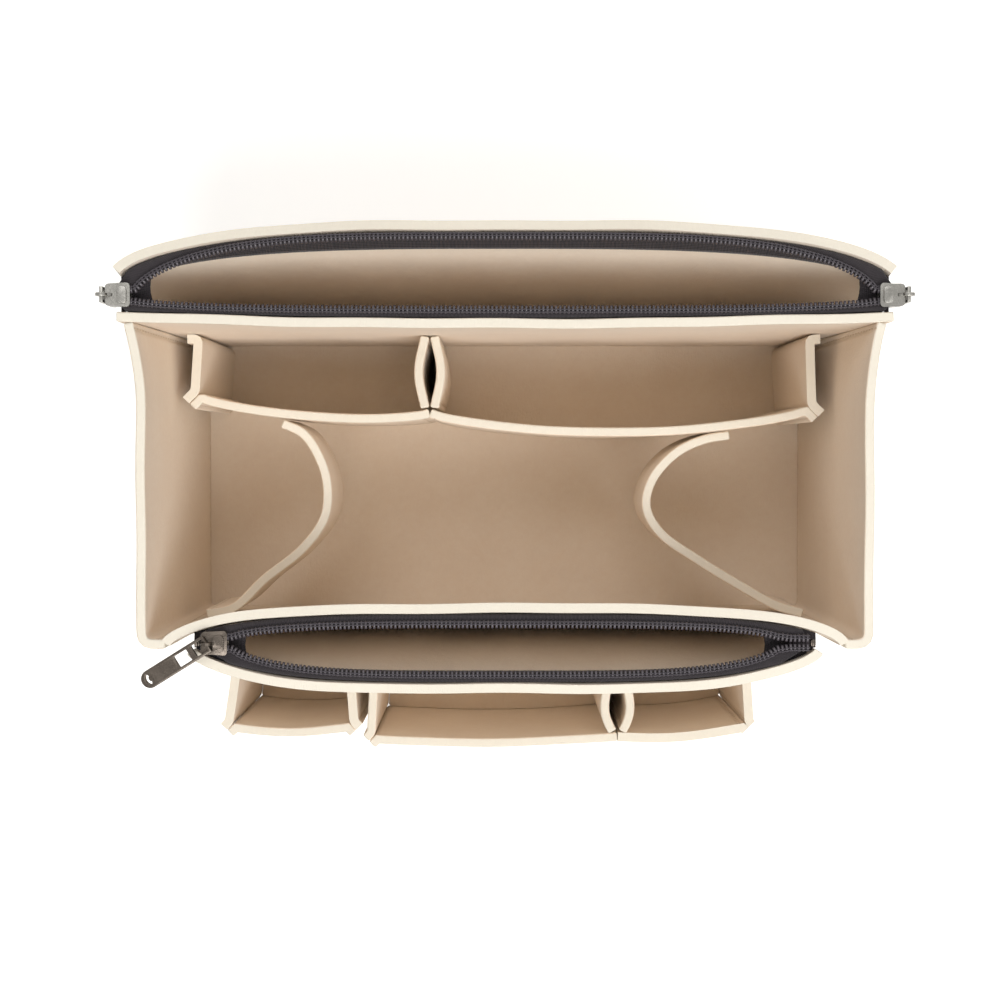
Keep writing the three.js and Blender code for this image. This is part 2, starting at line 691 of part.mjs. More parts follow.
// Coils: a row of teeth standing on the tape's free edge, waisted between the teeth
const toothProfile = [
  [-coilOnTape, 0], [toothReach, 0], [toothReach, coilHeight * coilShoulderShare],
  [-coilOnTape * coilCrownShare, coilHeight], [-coilOnTape, coilHeight * coilBackShare],
];
function zipCoil(zip, mouth) {
  const teeth = Math.round(2 * edgeEnd(zip) / coilPitch);
  const stations = 2 * teeth;
  const line = Array.from({ length: stations + 1 }, (_, index) => {
    const x = edgeEnd(zip) * (2 * index / stations - 1);
    return [x, edgeY(zip, mouth, x)];
  });
  const side = -Math.sign(mouth - zip.y);
  const normals = planNormals(line, facingRear);
  const rings = line.map(([x, y], index) => toothProfile.map(([across, up]) => {
    const waist = index % 2 === 0;
    const out = waist ? (across + coilOnTape) * coilWaistShare - coilOnTape : across;
    const height = waist ? up * coilWaistShare : up;
    const shift = out * side;
    return [x + normals[index][0] * shift, y + normals[index][1] * shift, tapeTop + height];
  }));
  return loft(rings, toothProfile);
}

const zipSides = [
  ['rear', 'inner', rearZip, rearInnerPlan, 1, 1],
  ['rear', 'outer', rearZip, rearOuterPlan, -1, 1],
  ['front', 'inner', frontZip, frontInnerPlan, -1, 3],
  ['front', 'outer', frontZip, frontOuterPlan, 1, 3],
];
for (const [place, layer, zip, plan, side, skip] of zipSides) {
  const mouth = zip[`${layer}Mouth`];
  addPiece(`${place}_zip_${layer}_tape`, zipTape(zip, mouth, plan, side, skip), 'tape');
  addPiece(`${place}_zip_${layer}_coil`, zipCoil(zip, mouth), 'coil');
}

// Sliders: two plates held apart by a divider at the nose, with flanges round the teeth.
// Local frame: nose towards +X, the tape's underside at Z zero.
const topPlateFoot = tapeThickness + coilHeight + sliderClearance;
const topPlateHead = topPlateFoot + plateThickness;

function sliderOutline(size, inset, setback) {
  const [tail, nose] = [size.tail / 2 - inset, size.nose / 2 - inset];
  const back = -size.length / 2 + inset + setback;
  const tip = size.length / 2 - inset;
  const line = filleted([
    [0, -tail], [tip, -nose], [tip, nose], [back, tail], [back, -tail], [0, -tail],
  ], sliderCorner);
  line.pop();
  return line;
}

function plate(outline, foot, head) {
  const shape = new THREE.Shape(outline.map(([x, y]) => new THREE.Vector2(x, y)));
  const geometry = new THREE.ExtrudeGeometry(shape, { depth: head - foot, bevelEnabled: false });
  return solid(geometry.translate(0, 0, foot));
}

function sliderBody(size) {
  const over = plateThickness / 2;
  const slotHead = tapeThickness + sliderClearance;
  const rim = plate(sliderOutline(size, 0, 0), slotHead, topPlateFoot + over);
  const channel = [-size.length, size.length].map((x) => {
    const half = size.tail / 2 - flangeThickness;
    const spreadHalf = size.nose / 2 - flangeThickness;
    return x < 0 ? [[x, half], [x, -half]] : [[x, -spreadHalf], [x, spreadHalf]];
  }).flat();
  const flanges = rim.subtract(plate(channel, 0, topPlateFoot));
  const back = size.length / 2 - dividerLength;
  const front = size.length / 2 - sliderCorner / 2;
  const half = dividerWidth / 2;
  const wedge = [[back, 0], [front - half, -half], [front, 0], [front - half, half]];
  const divider = plate(wedge, -sliderClearance - over, topPlateFoot + over);
  const under = plate(sliderOutline(size, 0, 0), -sliderClearance - plateThickness, -sliderClearance);
  const top = plate(sliderOutline(size, 0, 0), topPlateFoot, topPlateHead);
  const crownOutline = sliderOutline(size, crownInset, crownSetback);
  const crown = plate(crownOutline, topPlateHead - over, topPlateHead + crownHeight);
  return under.add(top).add(flanges).add(divider).add(crown).add(pullEye(size));
}

// The eye that carries the pull: a lug on the top plate. It reaches past the tail on the
// rear sliders, whose pulls hang down, and stands on the middle of the front one.
const eyeX = (size) => size.eyeInset - size.length / 2;
const eyeZ = topPlateHead + eyeRise;
function pullEye(size) {
  const shape = new THREE.Shape();
  const middle = eyeX(size);
  shape.moveTo(middle + eyeFoot, topPlateHead - plateThickness / 2);
  shape.lineTo(middle + eyeRadius, eyeZ);
  shape.absarc(middle, eyeZ, eyeRadius, 0, radians(eyeArcAngle), false);
  shape.lineTo(middle + eyeHeel, topPlateHead - plateThickness / 2);
  const hole = new THREE.Path();
  hole.absarc(middle, eyeZ, eyeHole, 0, 2 * Math.PI, true);
  shape.holes.push(hole);
  const geometry = new THREE.ExtrudeGeometry(shape, {
    depth: eyeThickness, bevelEnabled: false, curveSegments: eyeSteps,
  });
  geometry.rotateX(Math.PI / 2).translate(0, eyeThickness / 2, 0);
  return solid(geometry);
}

// Pulls: a ring round the eye, a tab with a square window and a slot at its round end.
// Local frame: the bar in the eye lies along Y at the origin, the tab runs towards -X.
function pullTab({ length, width, ring, window }) {
  const half = width / 2;
  const shape = new THREE.Shape();
  shape.moveTo(pullBar, -half);
  shape.lineTo(pullBar, half);
  shape.absarc(-length + half, 0, half, Math.PI / 2, -Math.PI / 2, false);
  const tab = solid(new THREE.ExtrudeGeometry(shape, {
    depth: pullThickness, bevelEnabled: false, curveSegments: pullSteps,
  }).translate(0, 0, -pullThickness / 2));
  const opening = (from, size, across) => {
    const cut = new THREE.BoxGeometry(size, across, 2 * pullThickness);
    return solid(cut.translate(from - size / 2, 0, 0));
  };
  const inside = width - 2 * pullRim;
  const slotStart = -length + half - pullSlotWidth / 2;
  return tab
    .subtract(opening(-pullBar, ring - pullBar, inside))
    .subtract(opening(-ring - 2 * pullRim, window, inside))
    .subtract(opening(slotStart, pullSlotWidth, pullSlotLength));
}

// Each slider stands in its own group: nose towards the open mouth, pull in its eye
function addSlider(name, zip, x, noseTurn, pull, finish, pullTurn) {
  const body = addPiece(`${name}_slider`, geometryOf(sliderBody(zip.slider)), finish);
  const tab = addPiece(`${name}_pull`, geometryOf(pullTab(pull)), finish);
  const place = new THREE.Group();
  place.position.set(x, zip.y, tapeTop - tapeThickness);
  place.rotation.z = noseTurn;
  const eye = new THREE.Group();
  eye.position.set(eyeX(zip.slider), 0, eyeZ);
  eye.rotation.order = 'ZYX';
  eye.rotation.set(0, pullTurn.drop, pullTurn.yaw);
  eye.add(tab);
  place.add(body, eye);
  organizer.add(place);
}
const hanging = { drop: -Math.PI / 2, yaw: 0 };
addSlider('rear_right', rearZip, rearZip.sliderX, Math.PI, rearPull, 'nickel', hanging);
addSlider('rear_left', rearZip, -rearZip.sliderX, 0, rearPull, 'nickel', hanging);
addSlider('front', frontZip, -frontZip.sliderX, 0, frontPull, 'gunmetal', {
  drop: -radians(frontPullSlope), yaw: radians(frontPullYaw),
});

// End stops: clips that hold both coils together, half inside the slider's tail at rest
function endStop(zip, direction) {
  const inner = edgeEnd(zip) + seamGap;
  const shape = new THREE.Shape(filleted([
    [inner, -meshHalf], [inner + stopLength, -meshHalf],
    [inner + stopLength, meshHalf], [inner, meshHalf],
  ], meshHalf).map(([x, y]) => new THREE.Vector2(x, y)));
  const geometry = new THREE.ExtrudeGeometry(shape, { depth: stopHeight, bevelEnabled: false });
  geometry.rotateZ(direction < 0 ? Math.PI : 0);
  return geometry.translate(0, zip.y, tapeTop - tapeThickness);
}
for (const [name, zip, direction] of [
  ['rear_zip_right_stop', rearZip, 1], ['rear_zip_left_stop', rearZip, -1],
  ['front_zip_right_stop', frontZip, 1], ['front_zip_left_stop', frontZip, -1],
]) {
  addPiece(name, endStop(zip, direction), zip === rearZip ? 'nickel' : 'gunmetal');
}

export default organizer;
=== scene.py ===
# %% [markdown]
# # A felt purse organizer insert
# The insert is a soft box without a lid. Its walls are stiff felt panels that are sewn
# together at their edges. A zip pocket runs along the rear and along the front, slip
# pockets stand inside and outside, and two straps round off the front corners of the
# main space. The frame brings the rigid construction, and each felt panel is made
# again here with its curve, its rounded cut edge and its fibres.

import math

import bpy
import numpy as np
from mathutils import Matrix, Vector


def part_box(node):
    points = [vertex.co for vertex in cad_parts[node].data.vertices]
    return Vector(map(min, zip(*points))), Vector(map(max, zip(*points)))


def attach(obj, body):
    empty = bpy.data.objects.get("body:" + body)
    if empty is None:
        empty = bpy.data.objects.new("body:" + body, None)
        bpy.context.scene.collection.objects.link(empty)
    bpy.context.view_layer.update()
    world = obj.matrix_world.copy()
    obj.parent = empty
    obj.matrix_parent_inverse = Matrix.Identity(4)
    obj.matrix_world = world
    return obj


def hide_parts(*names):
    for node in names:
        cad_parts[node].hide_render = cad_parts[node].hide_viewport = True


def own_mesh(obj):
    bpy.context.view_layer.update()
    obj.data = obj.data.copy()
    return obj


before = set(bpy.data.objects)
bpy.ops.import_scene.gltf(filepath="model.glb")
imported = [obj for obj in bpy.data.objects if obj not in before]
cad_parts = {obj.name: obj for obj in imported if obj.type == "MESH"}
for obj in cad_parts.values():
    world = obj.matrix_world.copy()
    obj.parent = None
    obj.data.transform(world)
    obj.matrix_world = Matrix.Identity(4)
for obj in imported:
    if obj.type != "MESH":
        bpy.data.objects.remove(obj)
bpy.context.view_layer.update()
scene = bpy.context.scene
MM = 0.001
print("pieces in the frame:", len(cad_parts))

# %% [markdown]
# ## The camera
# The insert is seen nearly straight from above, from about 0.8 m. The lens looks a
# little towards the front, so the walls at the rear show their inner faces.

# %% Camera
CAMERA_PLACE = (-1.8, 7.0, 790.0)
FOCAL_PIXELS = 1800
TILT = math.atan(45 / FOCAL_PIXELS)
bpy.ops.object.camera_add(
    location=[c * MM for c in CAMERA_PLACE], rotation=(-TILT, 0, 0)
)
camera = bpy.context.object
camera.data.lens = camera.data.sensor_width * FOCAL_PIXELS / 1000
camera.data.clip_start = 0.01
scene.camera = camera
print("lens in mm:", round(camera.data.lens, 1))

# %% [markdown]
# ## Floor and light
# A wide pale floor, a pale sky and three large soft lamps: the main one before the
# insert, one at its right and one behind it. The floor turns white for the camera
# alone, so the white background adds no light to the felt.

# %% A small language for shader nodes
class Wire:
    """A node's output that can be used in sums and products."""

    def __init__(self, tree, socket):
        self.tree = tree
        self.socket = socket

    def math(self, operation, *others):
        """A node that works on this wire first, and then on the others."""
        node = self.tree.nodes.new("ShaderNodeMath")
        node.operation = operation
        for slot, value in zip(node.inputs, (self, *others)):
            if isinstance(value, Wire):
                self.tree.links.new(value.socket, slot)
            else:
                slot.default_value = value
        return Wire(self.tree, node.outputs[0])

    def __add__(self, other):
        return self.math("ADD", other)

    def __sub__(self, other):
        return self.math("SUBTRACT", other)

    def __rsub__(self, other):
        return self.math("MULTIPLY_ADD", -1.0, other)

    def __mul__(self, other):
        return self.math("MULTIPLY", other)

    def __pow__(self, other):
        return self.math("POWER", other)

    __radd__ = __add__
    __rmul__ = __mul__


class Finish:
    """A material with its nodes; node() adds any kind of node."""

    def __init__(self, name):
        self.material = bpy.data.materials.new(name)
        self.material.use_nodes = True
        self.tree = self.material.node_tree
        self.shader = self.tree.nodes["Principled BSDF"]
        self.output = self.tree.nodes["Material Output"]

    def node(self, kind, settings=None, values=None, output=0):
        node = self.tree.nodes.new("ShaderNode" + kind)
        for key, value in (settings or {}).items():
            setattr(node, key, value)
        self.fill(node, values or {})
        return Wire(self.tree, node.outputs[output])

    def fill(self, node, values):
        for key, value in values.items():
            if isinstance(value, Wire):
                self.tree.links.new(value.socket, node.inputs[key])
            else:
                node.inputs[key].default_value = value

    def surface(self, **values):
        named = {key.replace("_", " "): value for key, value in values.items()}
        self.fill(self.shader, named)
        return self.material

    def place(self, scale=(1, 1, 1), turn=(0, 0, 0), source="Object"):
        coordinates = self.tree.nodes.new("ShaderNodeTexCoord")
        wire = Wire(self.tree, coordinates.outputs[source])
        values = {"Vector": wire, "Scale": scale, "Rotation": turn}
        return self.node("Mapping", values=values)

    def split(self, layer):
        """The two numbers that a piece's named layer holds for each face corner."""
        pair = self.node("UVMap", {"uv_map": layer})
        parts = self.node("SeparateXYZ", values={0: pair}).socket.node
        return [Wire(self.tree, parts.outputs[axis]) for axis in (0, 1)]

    def noise(self, where, scale, detail=2.0, roughness=0.5):
        values = {"Vector": where, "Scale": scale, "Detail": detail}
        return self.node("TexNoise", values={**values, "Roughness": roughness})

    def bands(self, direction, where, scale, distortion, **others):
        values = {"Vector": where, "Scale": scale, "Distortion": distortion, **others}
        return self.node("TexWave", {"bands_direction": direction}, values)

    def bump(self, height, distance):
        return self.node("Bump", values={"Height": height, "Distance": distance})

    def mix(self, share, first, second):
        values = {0: share, 6: first, 7: second}
        return self.node("Mix", {"data_type": "RGBA"}, values, output=2)


def colour(red, green, blue):
    """A colour as seen on a screen, 0 to 255, made linear for the shader."""
    linear = [
        c / 12.92 if c <= 0.04045 else ((c + 0.055) / 1.055) ** 2.4
        for c in (red / 255, green / 255, blue / 255)
    ]
    return (*linear, 1.0)


def looked_at(tree):
    """One for what is seen, straight or in a gloss, and nought for other rays."""
    rays = tree.nodes.new("ShaderNodeLightPath")
    seen = Wire(tree, rays.outputs["Is Camera Ray"])
    return seen.math("MAXIMUM", Wire(tree, rays.outputs["Is Glossy Ray"]))


print("shader helpers ready")

# %% The floor
FLOOR_SIZE = 6
FLOOR_DEPTH = 0.0002
FLOOR_GLOW = 0.52
bpy.ops.mesh.primitive_plane_add(size=FLOOR_SIZE, location=(0, 0, -FLOOR_DEPTH))
floor = bpy.context.object
floor.name = "floor"
finish = Finish("pale_floor")
finish.surface(Base_Color=colour(238, 236, 232), Roughness=0.9)
matt = Wire(finish.tree, finish.shader.outputs[0])
glow = finish.node("Emission", values={"Color": (1, 1, 1, 1), "Strength": FLOOR_GLOW})
lit = finish.node("AddShader", values={0: matt, 1: glow})
shown = finish.node("MixShader", values={0: looked_at(finish.tree), 1: matt, 2: lit})
finish.tree.links.new(shown.socket, finish.output.inputs["Surface"])
floor.data.materials.append(finish.material)
print("floor:", floor.dimensions[:])

# %% Lamps and sky
LAMP_AIM = Vector((0, 0, 0.07))
LAMP_SIZE = 1.1
SKY_LIGHT = 0.3


def softbox(name, place, power):
    bpy.ops.object.light_add(type="AREA", location=place)
    lamp = bpy.context.object
    lamp.name = name
    lamp.data.shape = "DISK"
    lamp.data.size = LAMP_SIZE
    lamp.data.energy = power
    lamp.rotation_euler = (LAMP_AIM - Vector(place)).to_track_quat("-Z", "Y").to_euler()
    return lamp


lamps = [
    softbox("key_lamp", (0.1, -0.92, 1.8), 21),
    softbox("side_lamp", (1.1, -0.6, 1.6), 8),
    softbox("rear_lamp", (-0.2, 0.85, 1.7), 7),
]
world = bpy.data.worlds.new("soft_sky")
scene.world = world
world.use_nodes = True
sky = world.node_tree.nodes["Background"]
sky.inputs["Color"].default_value = (1.0, 0.99, 0.975, 1)
strength = looked_at(world.node_tree) * (1 - SKY_LIGHT) + SKY_LIGHT
world.node_tree.links.new(strength.socket, sky.inputs["Strength"])
scene.view_settings.view_transform = "Standard"
print("lamps:", [lamp.name for lamp in lamps])

# %% [markdown]
# ## Felt
# Needled felt has no weave. Short fibres lie in every direction, with a faint mottle
# over some centimetres and a soft bloom at a grazing look. A cut edge shows the fibre
# ends, so it is rougher than the pressed face; its finish is also paler, partly for the
# fibre ends and partly as painted light, because the top rims face up to the lamps. The
# panels are sewn with a thread of nearly their own colour: each stitch lies in a shallow
# groove that the thread pulls into the felt. Every panel carries its distances to its
# sewn edges.

# %% Felt finishes
STITCH = 0.0042
TOP_SEAM, FOOT_SEAM, END_SEAM = 0.0045, 0.0022, 0.0024
THREAD_HALF, GROOVE_HALF = 0.00036, 0.0016


def stitches(distance, along, inset):
    """Thread and groove of one seam, from the distance to its edge, in metres."""
    off = (distance - inset).math("ABSOLUTE")
    dash = (along * (1 / STITCH)).math("FRACT")
    length = (dash.math("MINIMUM", 1.0 - dash) * 9 - 1).math("MAXIMUM", 0.0)
    width = (1.0 - off * (1 / THREAD_HALF)).math("MAXIMUM", 0.0) ** 0.5
    valley = (1.0 - off * (1 / GROOVE_HALF)).math("MAXIMUM", 0.0) ** 1.5
    return width * length.math("MINIMUM", 1.0), valley


def highest(wires):
    first, second, third = wires
    return first.math("MAXIMUM", second).math("MAXIMUM", third)


def felt(name, dark, light, fuzz, sewn=False):
    finish = Finish(name)
    whole = finish.place()
    mottle = finish.noise(whole, 38, 3.0, 0.6)
    grain = finish.noise(whole, 420, 3.0, 0.65)
    hair = highest(
        finish.noise(finish.place((1, 0.16, 1), turn), 2300, 2.0, 0.6)
        for turn in ((0.3, 0.2, 0.5), (1.1, -0.4, 1.9), (-0.7, 0.9, -0.8))
    )
    tone = mottle * 0.45 + grain * 0.4 + hair * 0.25
    shade = finish.mix(tone, dark, light)
    height = hair * 0.5 + grain * 0.6 + mottle * 0.5
    if sewn:
        run = finish.split("sheet")
        edge = finish.split("edges")
        ends = finish.split("ends")
        seams = [
            stitches(edge[0], run[0], TOP_SEAM),
            stitches(edge[1], run[0], FOOT_SEAM),
            stitches(ends[0], run[1], END_SEAM),
        ]
        thread, valley = (highest(wires) for wires in zip(*seams))
        shade = finish.mix(thread * 0.75, shade, colour(214, 190, 158))
        height = height * (1.0 - thread * 0.7) - valley * 2.0 + thread * 2.0
    return finish.surface(
        Base_Color=shade,
        Roughness=grain * 0.1 + 0.86,
        Normal=finish.bump(height, fuzz),
        Sheen_Weight=0.22,
        Sheen_Roughness=0.45,
        Sheen_Tint=(1.0, 0.97, 0.92, 1.0),
        Specular_IOR_Level=0.2,
    )


felt_face = felt(
    "felt_face", colour(238, 216, 193), colour(255, 242, 224), 0.00028, sewn=True
)
# The cut edge's finish is paler than the face: partly its fibre ends, partly painted
# light, as the wall rims face up to the lamps.
felt_edge_fibres_and_light = felt(
    "felt_cut_edge_fibres_and_light", colour(232, 223, 206), colour(247, 239, 223), 0.0003
)
print("felt finishes:", felt_face.name, felt_edge_fibres_and_light.name)

# %% [markdown]
# ## Sizes
# The panels follow the same plan lines as the frame, in millimetres. Each wall is a
# line on the table that grows into a bowed line at the top, so it leans and bulges
# as soft felt does.

# %% Sizes of the felt body
FELT = 3.5
SEAM = 0.3
WALL_TOP = 150.0
REAR_HALF = 138.0
FRONT_INNER_HALF = 121.0
FRONT_OUTER_HALF = 112.0
BODY_HALF = 131.5
REAR_INNER_MID = 56.1
FRONT_INNER_MID = -60.4
CORNER = 7.0


def rise(z):
    return (z - FELT) / (WALL_TOP - FELT)


def smoothstep(low, high, value):
    share = np.clip((value - low) / (high - low), 0, 1)
    return share * share * (3 - 2 * share)


def rear_inner_y(x, z):
    return REAR_INNER_MID - 2.4 * (1 - (x / REAR_HALF) ** 2) * rise(z) ** 1.7


def rear_outer_y(share, z):
    roundness = np.cbrt(1 - np.abs(share) ** 3)
    return REAR_INNER_MID + FELT + SEAM + 28.8 * roundness * rise(z) ** 1.7


def front_inner_y(x, z):
    share = np.minimum(1, np.abs(x / FRONT_INNER_HALF))
    return FRONT_INNER_MID + 12.9 * (1 - share**4) ** 0.6 * rise(z) ** 1.7


def front_outer_y(x, z):
    share = np.minimum(1, np.abs(x / FRONT_OUTER_HALF))
    opening = 4.5 * smoothstep(90, WALL_TOP, z)
    end = front_inner_y(FRONT_OUTER_HALF, z) - FELT - SEAM - opening
    return end - 13.6 * (1 - share**4) ** 0.7 * rise(z) ** 2.2


def spread(count, angle=84):
    turn = np.radians(np.linspace(-angle, angle, count))
    return np.sin(turn) / np.sin(np.radians(angle))


belly = float(rear_outer_y(0, WALL_TOP) - rear_outer_y(1, WALL_TOP))
print("rear wall belly at the top:", round(belly, 1), "mm")

# %% [markdown]
# ## How a felt panel is made
# A real panel is cut flat, bent and sewn. Here a flat grid is added, and its rows are
# laid on the plan lines of the wall, from the table to the top edge. Solidify gives
# the felt its thickness and paints the cut edge with the second finish, and a small
# bevel rounds the edge. Both stay live.

# %% Tools for plan lines
def run_along(line):
    """The distance from the line's start to each of its points."""
    steps = np.linalg.norm(np.diff(line, axis=0), axis=1)
    return np.concatenate([[0], np.cumsum(steps)])


def resampled(line, count):
    """A plan line with that many points, evenly spaced along it."""
    line = np.asarray(line, float)
    run = run_along(line)
    at = np.linspace(0, run[-1], count)
    return np.stack([np.interp(at, run, line[:, axis]) for axis in (0, 1)], axis=1)


def curved(start, bend, finish, shares):
    """Points on the curve from start to finish that is drawn towards the bend."""
    return [
        (1 - t) ** 2 * start + 2 * t * (1 - t) * bend + t * t * finish for t in shares
    ]


def filleted(points, radius, steps=8):
    """A plan line through corner points, with each inner corner rounded."""
    points = [np.asarray(p, float) for p in points]
    line = [points[0]]
    for before, corner, after in zip(points, points[1:], points[2:]):
        back, ahead = before - corner, after - corner
        spans = np.linalg.norm(back), np.linalg.norm(ahead)
        cosine = back @ ahead / (spans[0] * spans[1])
        turn = math.pi - math.acos(np.clip(cosine, -1, 1))
        reach = min(radius * math.tan(turn / 2), spans[0] / 2, spans[1] / 2)
        start = corner + back / spans[0] * reach
        finish = corner + ahead / spans[1] * reach
        line += curved(start, corner, finish, np.linspace(0, 1, steps + 1))
    return np.array([*line, points[-1]])


def bowed(start, finish, bow_x, bow_y, softness=1.0, lean=1.0):
    """A straight line that bows sideways, fuller at its ends where softness is small."""
    share = np.linspace(0, 1, 41)[:, None]
    bow = np.sin(math.pi * share**lean).clip(0) ** softness * np.array([bow_x, bow_y])
    return np.array(start) * (1 - share) + np.array(finish) * share + bow


def directions(line):
    along = np.gradient(line, axis=0)
    return along / np.linalg.norm(along, axis=1)[:, None]


def beside(line, distance):
    """A plan line moved sideways, to its left where the distance is above nought."""
    along = directions(line)
    return line + np.stack([-along[:, 1], along[:, 0]], axis=1) * distance


def raised(line, height):
    return np.column_stack([line, np.full(len(line), height)])


print("tools for plan lines ready")

# %% Tools for panels
PANEL_ROWS = 18
EDGE_ROUNDING = 0.75
FAR = 1000.0


def shade_all(piece):
    piece.data.polygons.foreach_set("use_smooth", [True] * len(piece.data.polygons))


def dressed(piece, *materials):
    """Gives a piece these materials and no others."""
    piece.data.materials.clear()
    for material in materials:
        piece.data.materials.append(material)


def settle(piece, name, nodes=(), body="organizer"):
    """Names a finished piece, and says what it rides on and stands for."""
    piece.name = name
    piece.data.name = name
    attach(piece, body)
    if nodes:
        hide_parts(*nodes)
    return piece


def sheet_grid(places):
    """A grid primitive whose points are moved, row by row, to millimetre places."""
    rows, columns = (count - 1 for count in places.shape[:2])
    bpy.ops.mesh.primitive_grid_add(x_subdivisions=columns, y_subdivisions=rows, size=1)
    piece = bpy.context.object
    piece.data.vertices.foreach_set("co", (places * MM).ravel())
    piece.data.update()
    return piece


def ripple(x, z, seed):
    """A slow unevenness of a few tenths of a millimetre, as hand-sewn felt has."""
    wave = np.sin(x / 17.0 + seed * 1.7) * np.cos(z / 23.0 + seed)
    return wave + 0.6 * np.sin(x / 7.9 - seed * 2.3 + z / 31.0)


def thickened(piece, thickness):
    solid = piece.modifiers.new("thickness", "SOLIDIFY")
    solid.thickness = thickness * MM
    solid.offset = 0
    return solid


def rounded(piece, width, segments, angle):
    edge = piece.modifiers.new("rounded_edge", "BEVEL")
    edge.width = width * MM
    edge.segments = segments
    edge.limit_method = "ANGLE"
    edge.angle_limit = math.radians(angle)
    return edge


def lay_layer(piece, name, values):
    """Writes two numbers per grid point, in millimetres, to a named layer in metres."""
    marks = piece.data.uv_layers.new(name=name)
    corners = np.empty(len(piece.data.loops), int)
    piece.data.loops.foreach_get("vertex_index", corners)
    marks.data.foreach_set("uv", (values.reshape(-1, 2)[corners] * MM).ravel())


def standing_panel(
    name, plan, low, high, columns, rows=PANEL_ROWS, wave=0.1, even=True, sewn=""
):
    """A felt panel on edge. Its plan is a line, or gives the line at each height."""
    heights = np.linspace(low, high, rows + 1)
    places = np.zeros((rows + 1, columns + 1, 3))
    seed = sum(map(ord, name)) % 17
    share = np.linspace(-1, 1, columns + 1)
    for row, z in enumerate(heights):
        line = plan(z) if callable(plan) else plan
        if even:
            line = resampled(line, columns + 1)
        calm = (1 - share**8) * smoothstep(low, low + 25, z)
        push = wave * calm * ripple(line[:, 0] + line[:, 1], z, seed)
        places[row, :, :2] = beside(line, push[:, None])
        dip = 0.25 * calm * (1 + np.sin(line[:, 0] / 13 + line[:, 1] / 9 + seed))
        places[row, :, 2] = z - dip * smoothstep(high - 12, high, z)
    piece = sheet_grid(places)
    run = run_along(places[rows])[None, :].repeat(rows + 1, 0)
    up = heights[:, None].repeat(columns + 1, 1)
    far = np.full_like(up, FAR)
    top = high - up if "top" in sewn else far
    foot = up - low if "foot" in sewn else far
    end = np.minimum(run, run[0, -1] - run)
    for layer, *pair in (("sheet", run, up), ("edges", top, foot), ("ends", end, far)):
        lay_layer(piece, layer, np.stack(pair, axis=2))
    dressed(piece, felt_face, felt_edge_fibres_and_light)
    solid = thickened(piece, FELT)
    solid.use_even_offset = True
    solid.material_offset_rim = 1
    rounded(piece, EDGE_ROUNDING, 3, 50).harden_normals = True
    shade_all(piece)
    return settle(piece, name + "_felt", [name])


print("panel tools ready")

# %% [markdown]
# ## The base panel
# One flat piece of felt with rounded corners. It starts as a box, its upright edges
# are bevelled to the corner radius, and then the cut edge is rounded.

# %% Base panel
def edited(operation, whole=True, **settings):
    """A step in edit mode, on the whole mesh or else on what is selected."""
    bpy.ops.object.mode_set(mode="EDIT")
    if whole:
        bpy.ops.mesh.select_all(action="SELECT")
    operation(**settings)
    bpy.ops.object.mode_set(mode="OBJECT")


def bevelled(piece, test, width, segments):
    """Rounds the edges whose two ends pass the test."""
    edited(bpy.ops.mesh.select_all, False, action="DESELECT")
    bpy.context.tool_settings.mesh_select_mode = (False, True, False)
    for edge in piece.data.edges:
        edge.select = test(*(piece.data.vertices[v].co for v in edge.vertices))
    edited(bpy.ops.mesh.bevel, False, offset=width * MM, segments=segments)


def upright(a, b):
    return abs(a.z - b.z) > 0.001


def level(a, b):
    return abs(a.z - b.z) < 1e-6


def box_piece(low, high):
    """A cube primitive between two corners, in millimetres, with its size applied."""
    middle = [(a + b) / 2 * MM for a, b in zip(low, high)]
    bpy.ops.mesh.primitive_cube_add(size=1, location=middle)
    piece = bpy.context.object
    piece.scale = [(b - a) * MM for a, b in zip(low, high)]
    bpy.ops.object.transform_apply(location=True, rotation=True, scale=True)
    return piece


base_low, base_high = (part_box("bottom_panel")[i] / MM for i in (0, 1))
base = box_piece(base_low, base_high)
bevelled(base, upright, CORNER, 8)
bevelled(base, level, 0.7, 3)
dressed(base, felt_face, felt_edge_fibres_and_light)
for face in base.data.polygons:
    face.material_index = 0 if abs(face.normal.z) > 0.9 else 1
bpy.ops.object.shade_smooth_by_angle(angle=math.radians(35))
settle(base, "bottom_panel_felt", ["bottom_panel"])
print("base panel:", [round(d / MM, 1) for d in base.dimensions])

# %% [markdown]
# ## The long walls
# Four panels make the two zip pockets. The rear inner wall is nearly straight and the
# rear outer wall bellies out, because the pocket stands open.

# %% Rear and front walls
WALL_COLUMNS, WALL_ROWS = 96, 30
wall_shares = spread(WALL_COLUMNS + 1)


def wall_plan(half, depth):
    """The plan of a wall whose middle line lies at depth(x, z)."""
    x = wall_shares * half
    return lambda z: np.stack([x, depth(x, z)], axis=1)


def rear_outer_plan(z):
    end = 1 - 0.03 * smoothstep(80, WALL_TOP, z)
    y = rear_outer_y(wall_shares * end, z)
    return np.stack([wall_shares * REAR_HALF, y], axis=1)


wall_plans = {
    "rear_inner": wall_plan(REAR_HALF, rear_inner_y),
    "rear_outer": rear_outer_plan,
    "front_inner": wall_plan(FRONT_INNER_HALF, front_inner_y),
    "front_outer": wall_plan(FRONT_OUTER_HALF, front_outer_y),
}
walls = {
    name: standing_panel(
        name + "_wall", plan, FELT, WALL_TOP, WALL_COLUMNS, WALL_ROWS,
        wave=0.22, even=False, sewn="top foot",
    )
    for name, plan in wall_plans.items()
}
print("long walls:", list(walls))

# %% [markdown]
# ## The side walls
# Each side wall is one panel. It flares out where it meets the rear wall, and bends
# round the front corner to meet the front inner wall.

# %% Side walls
SIDE_FLARE = 4.2
FLARE_RUN = 32


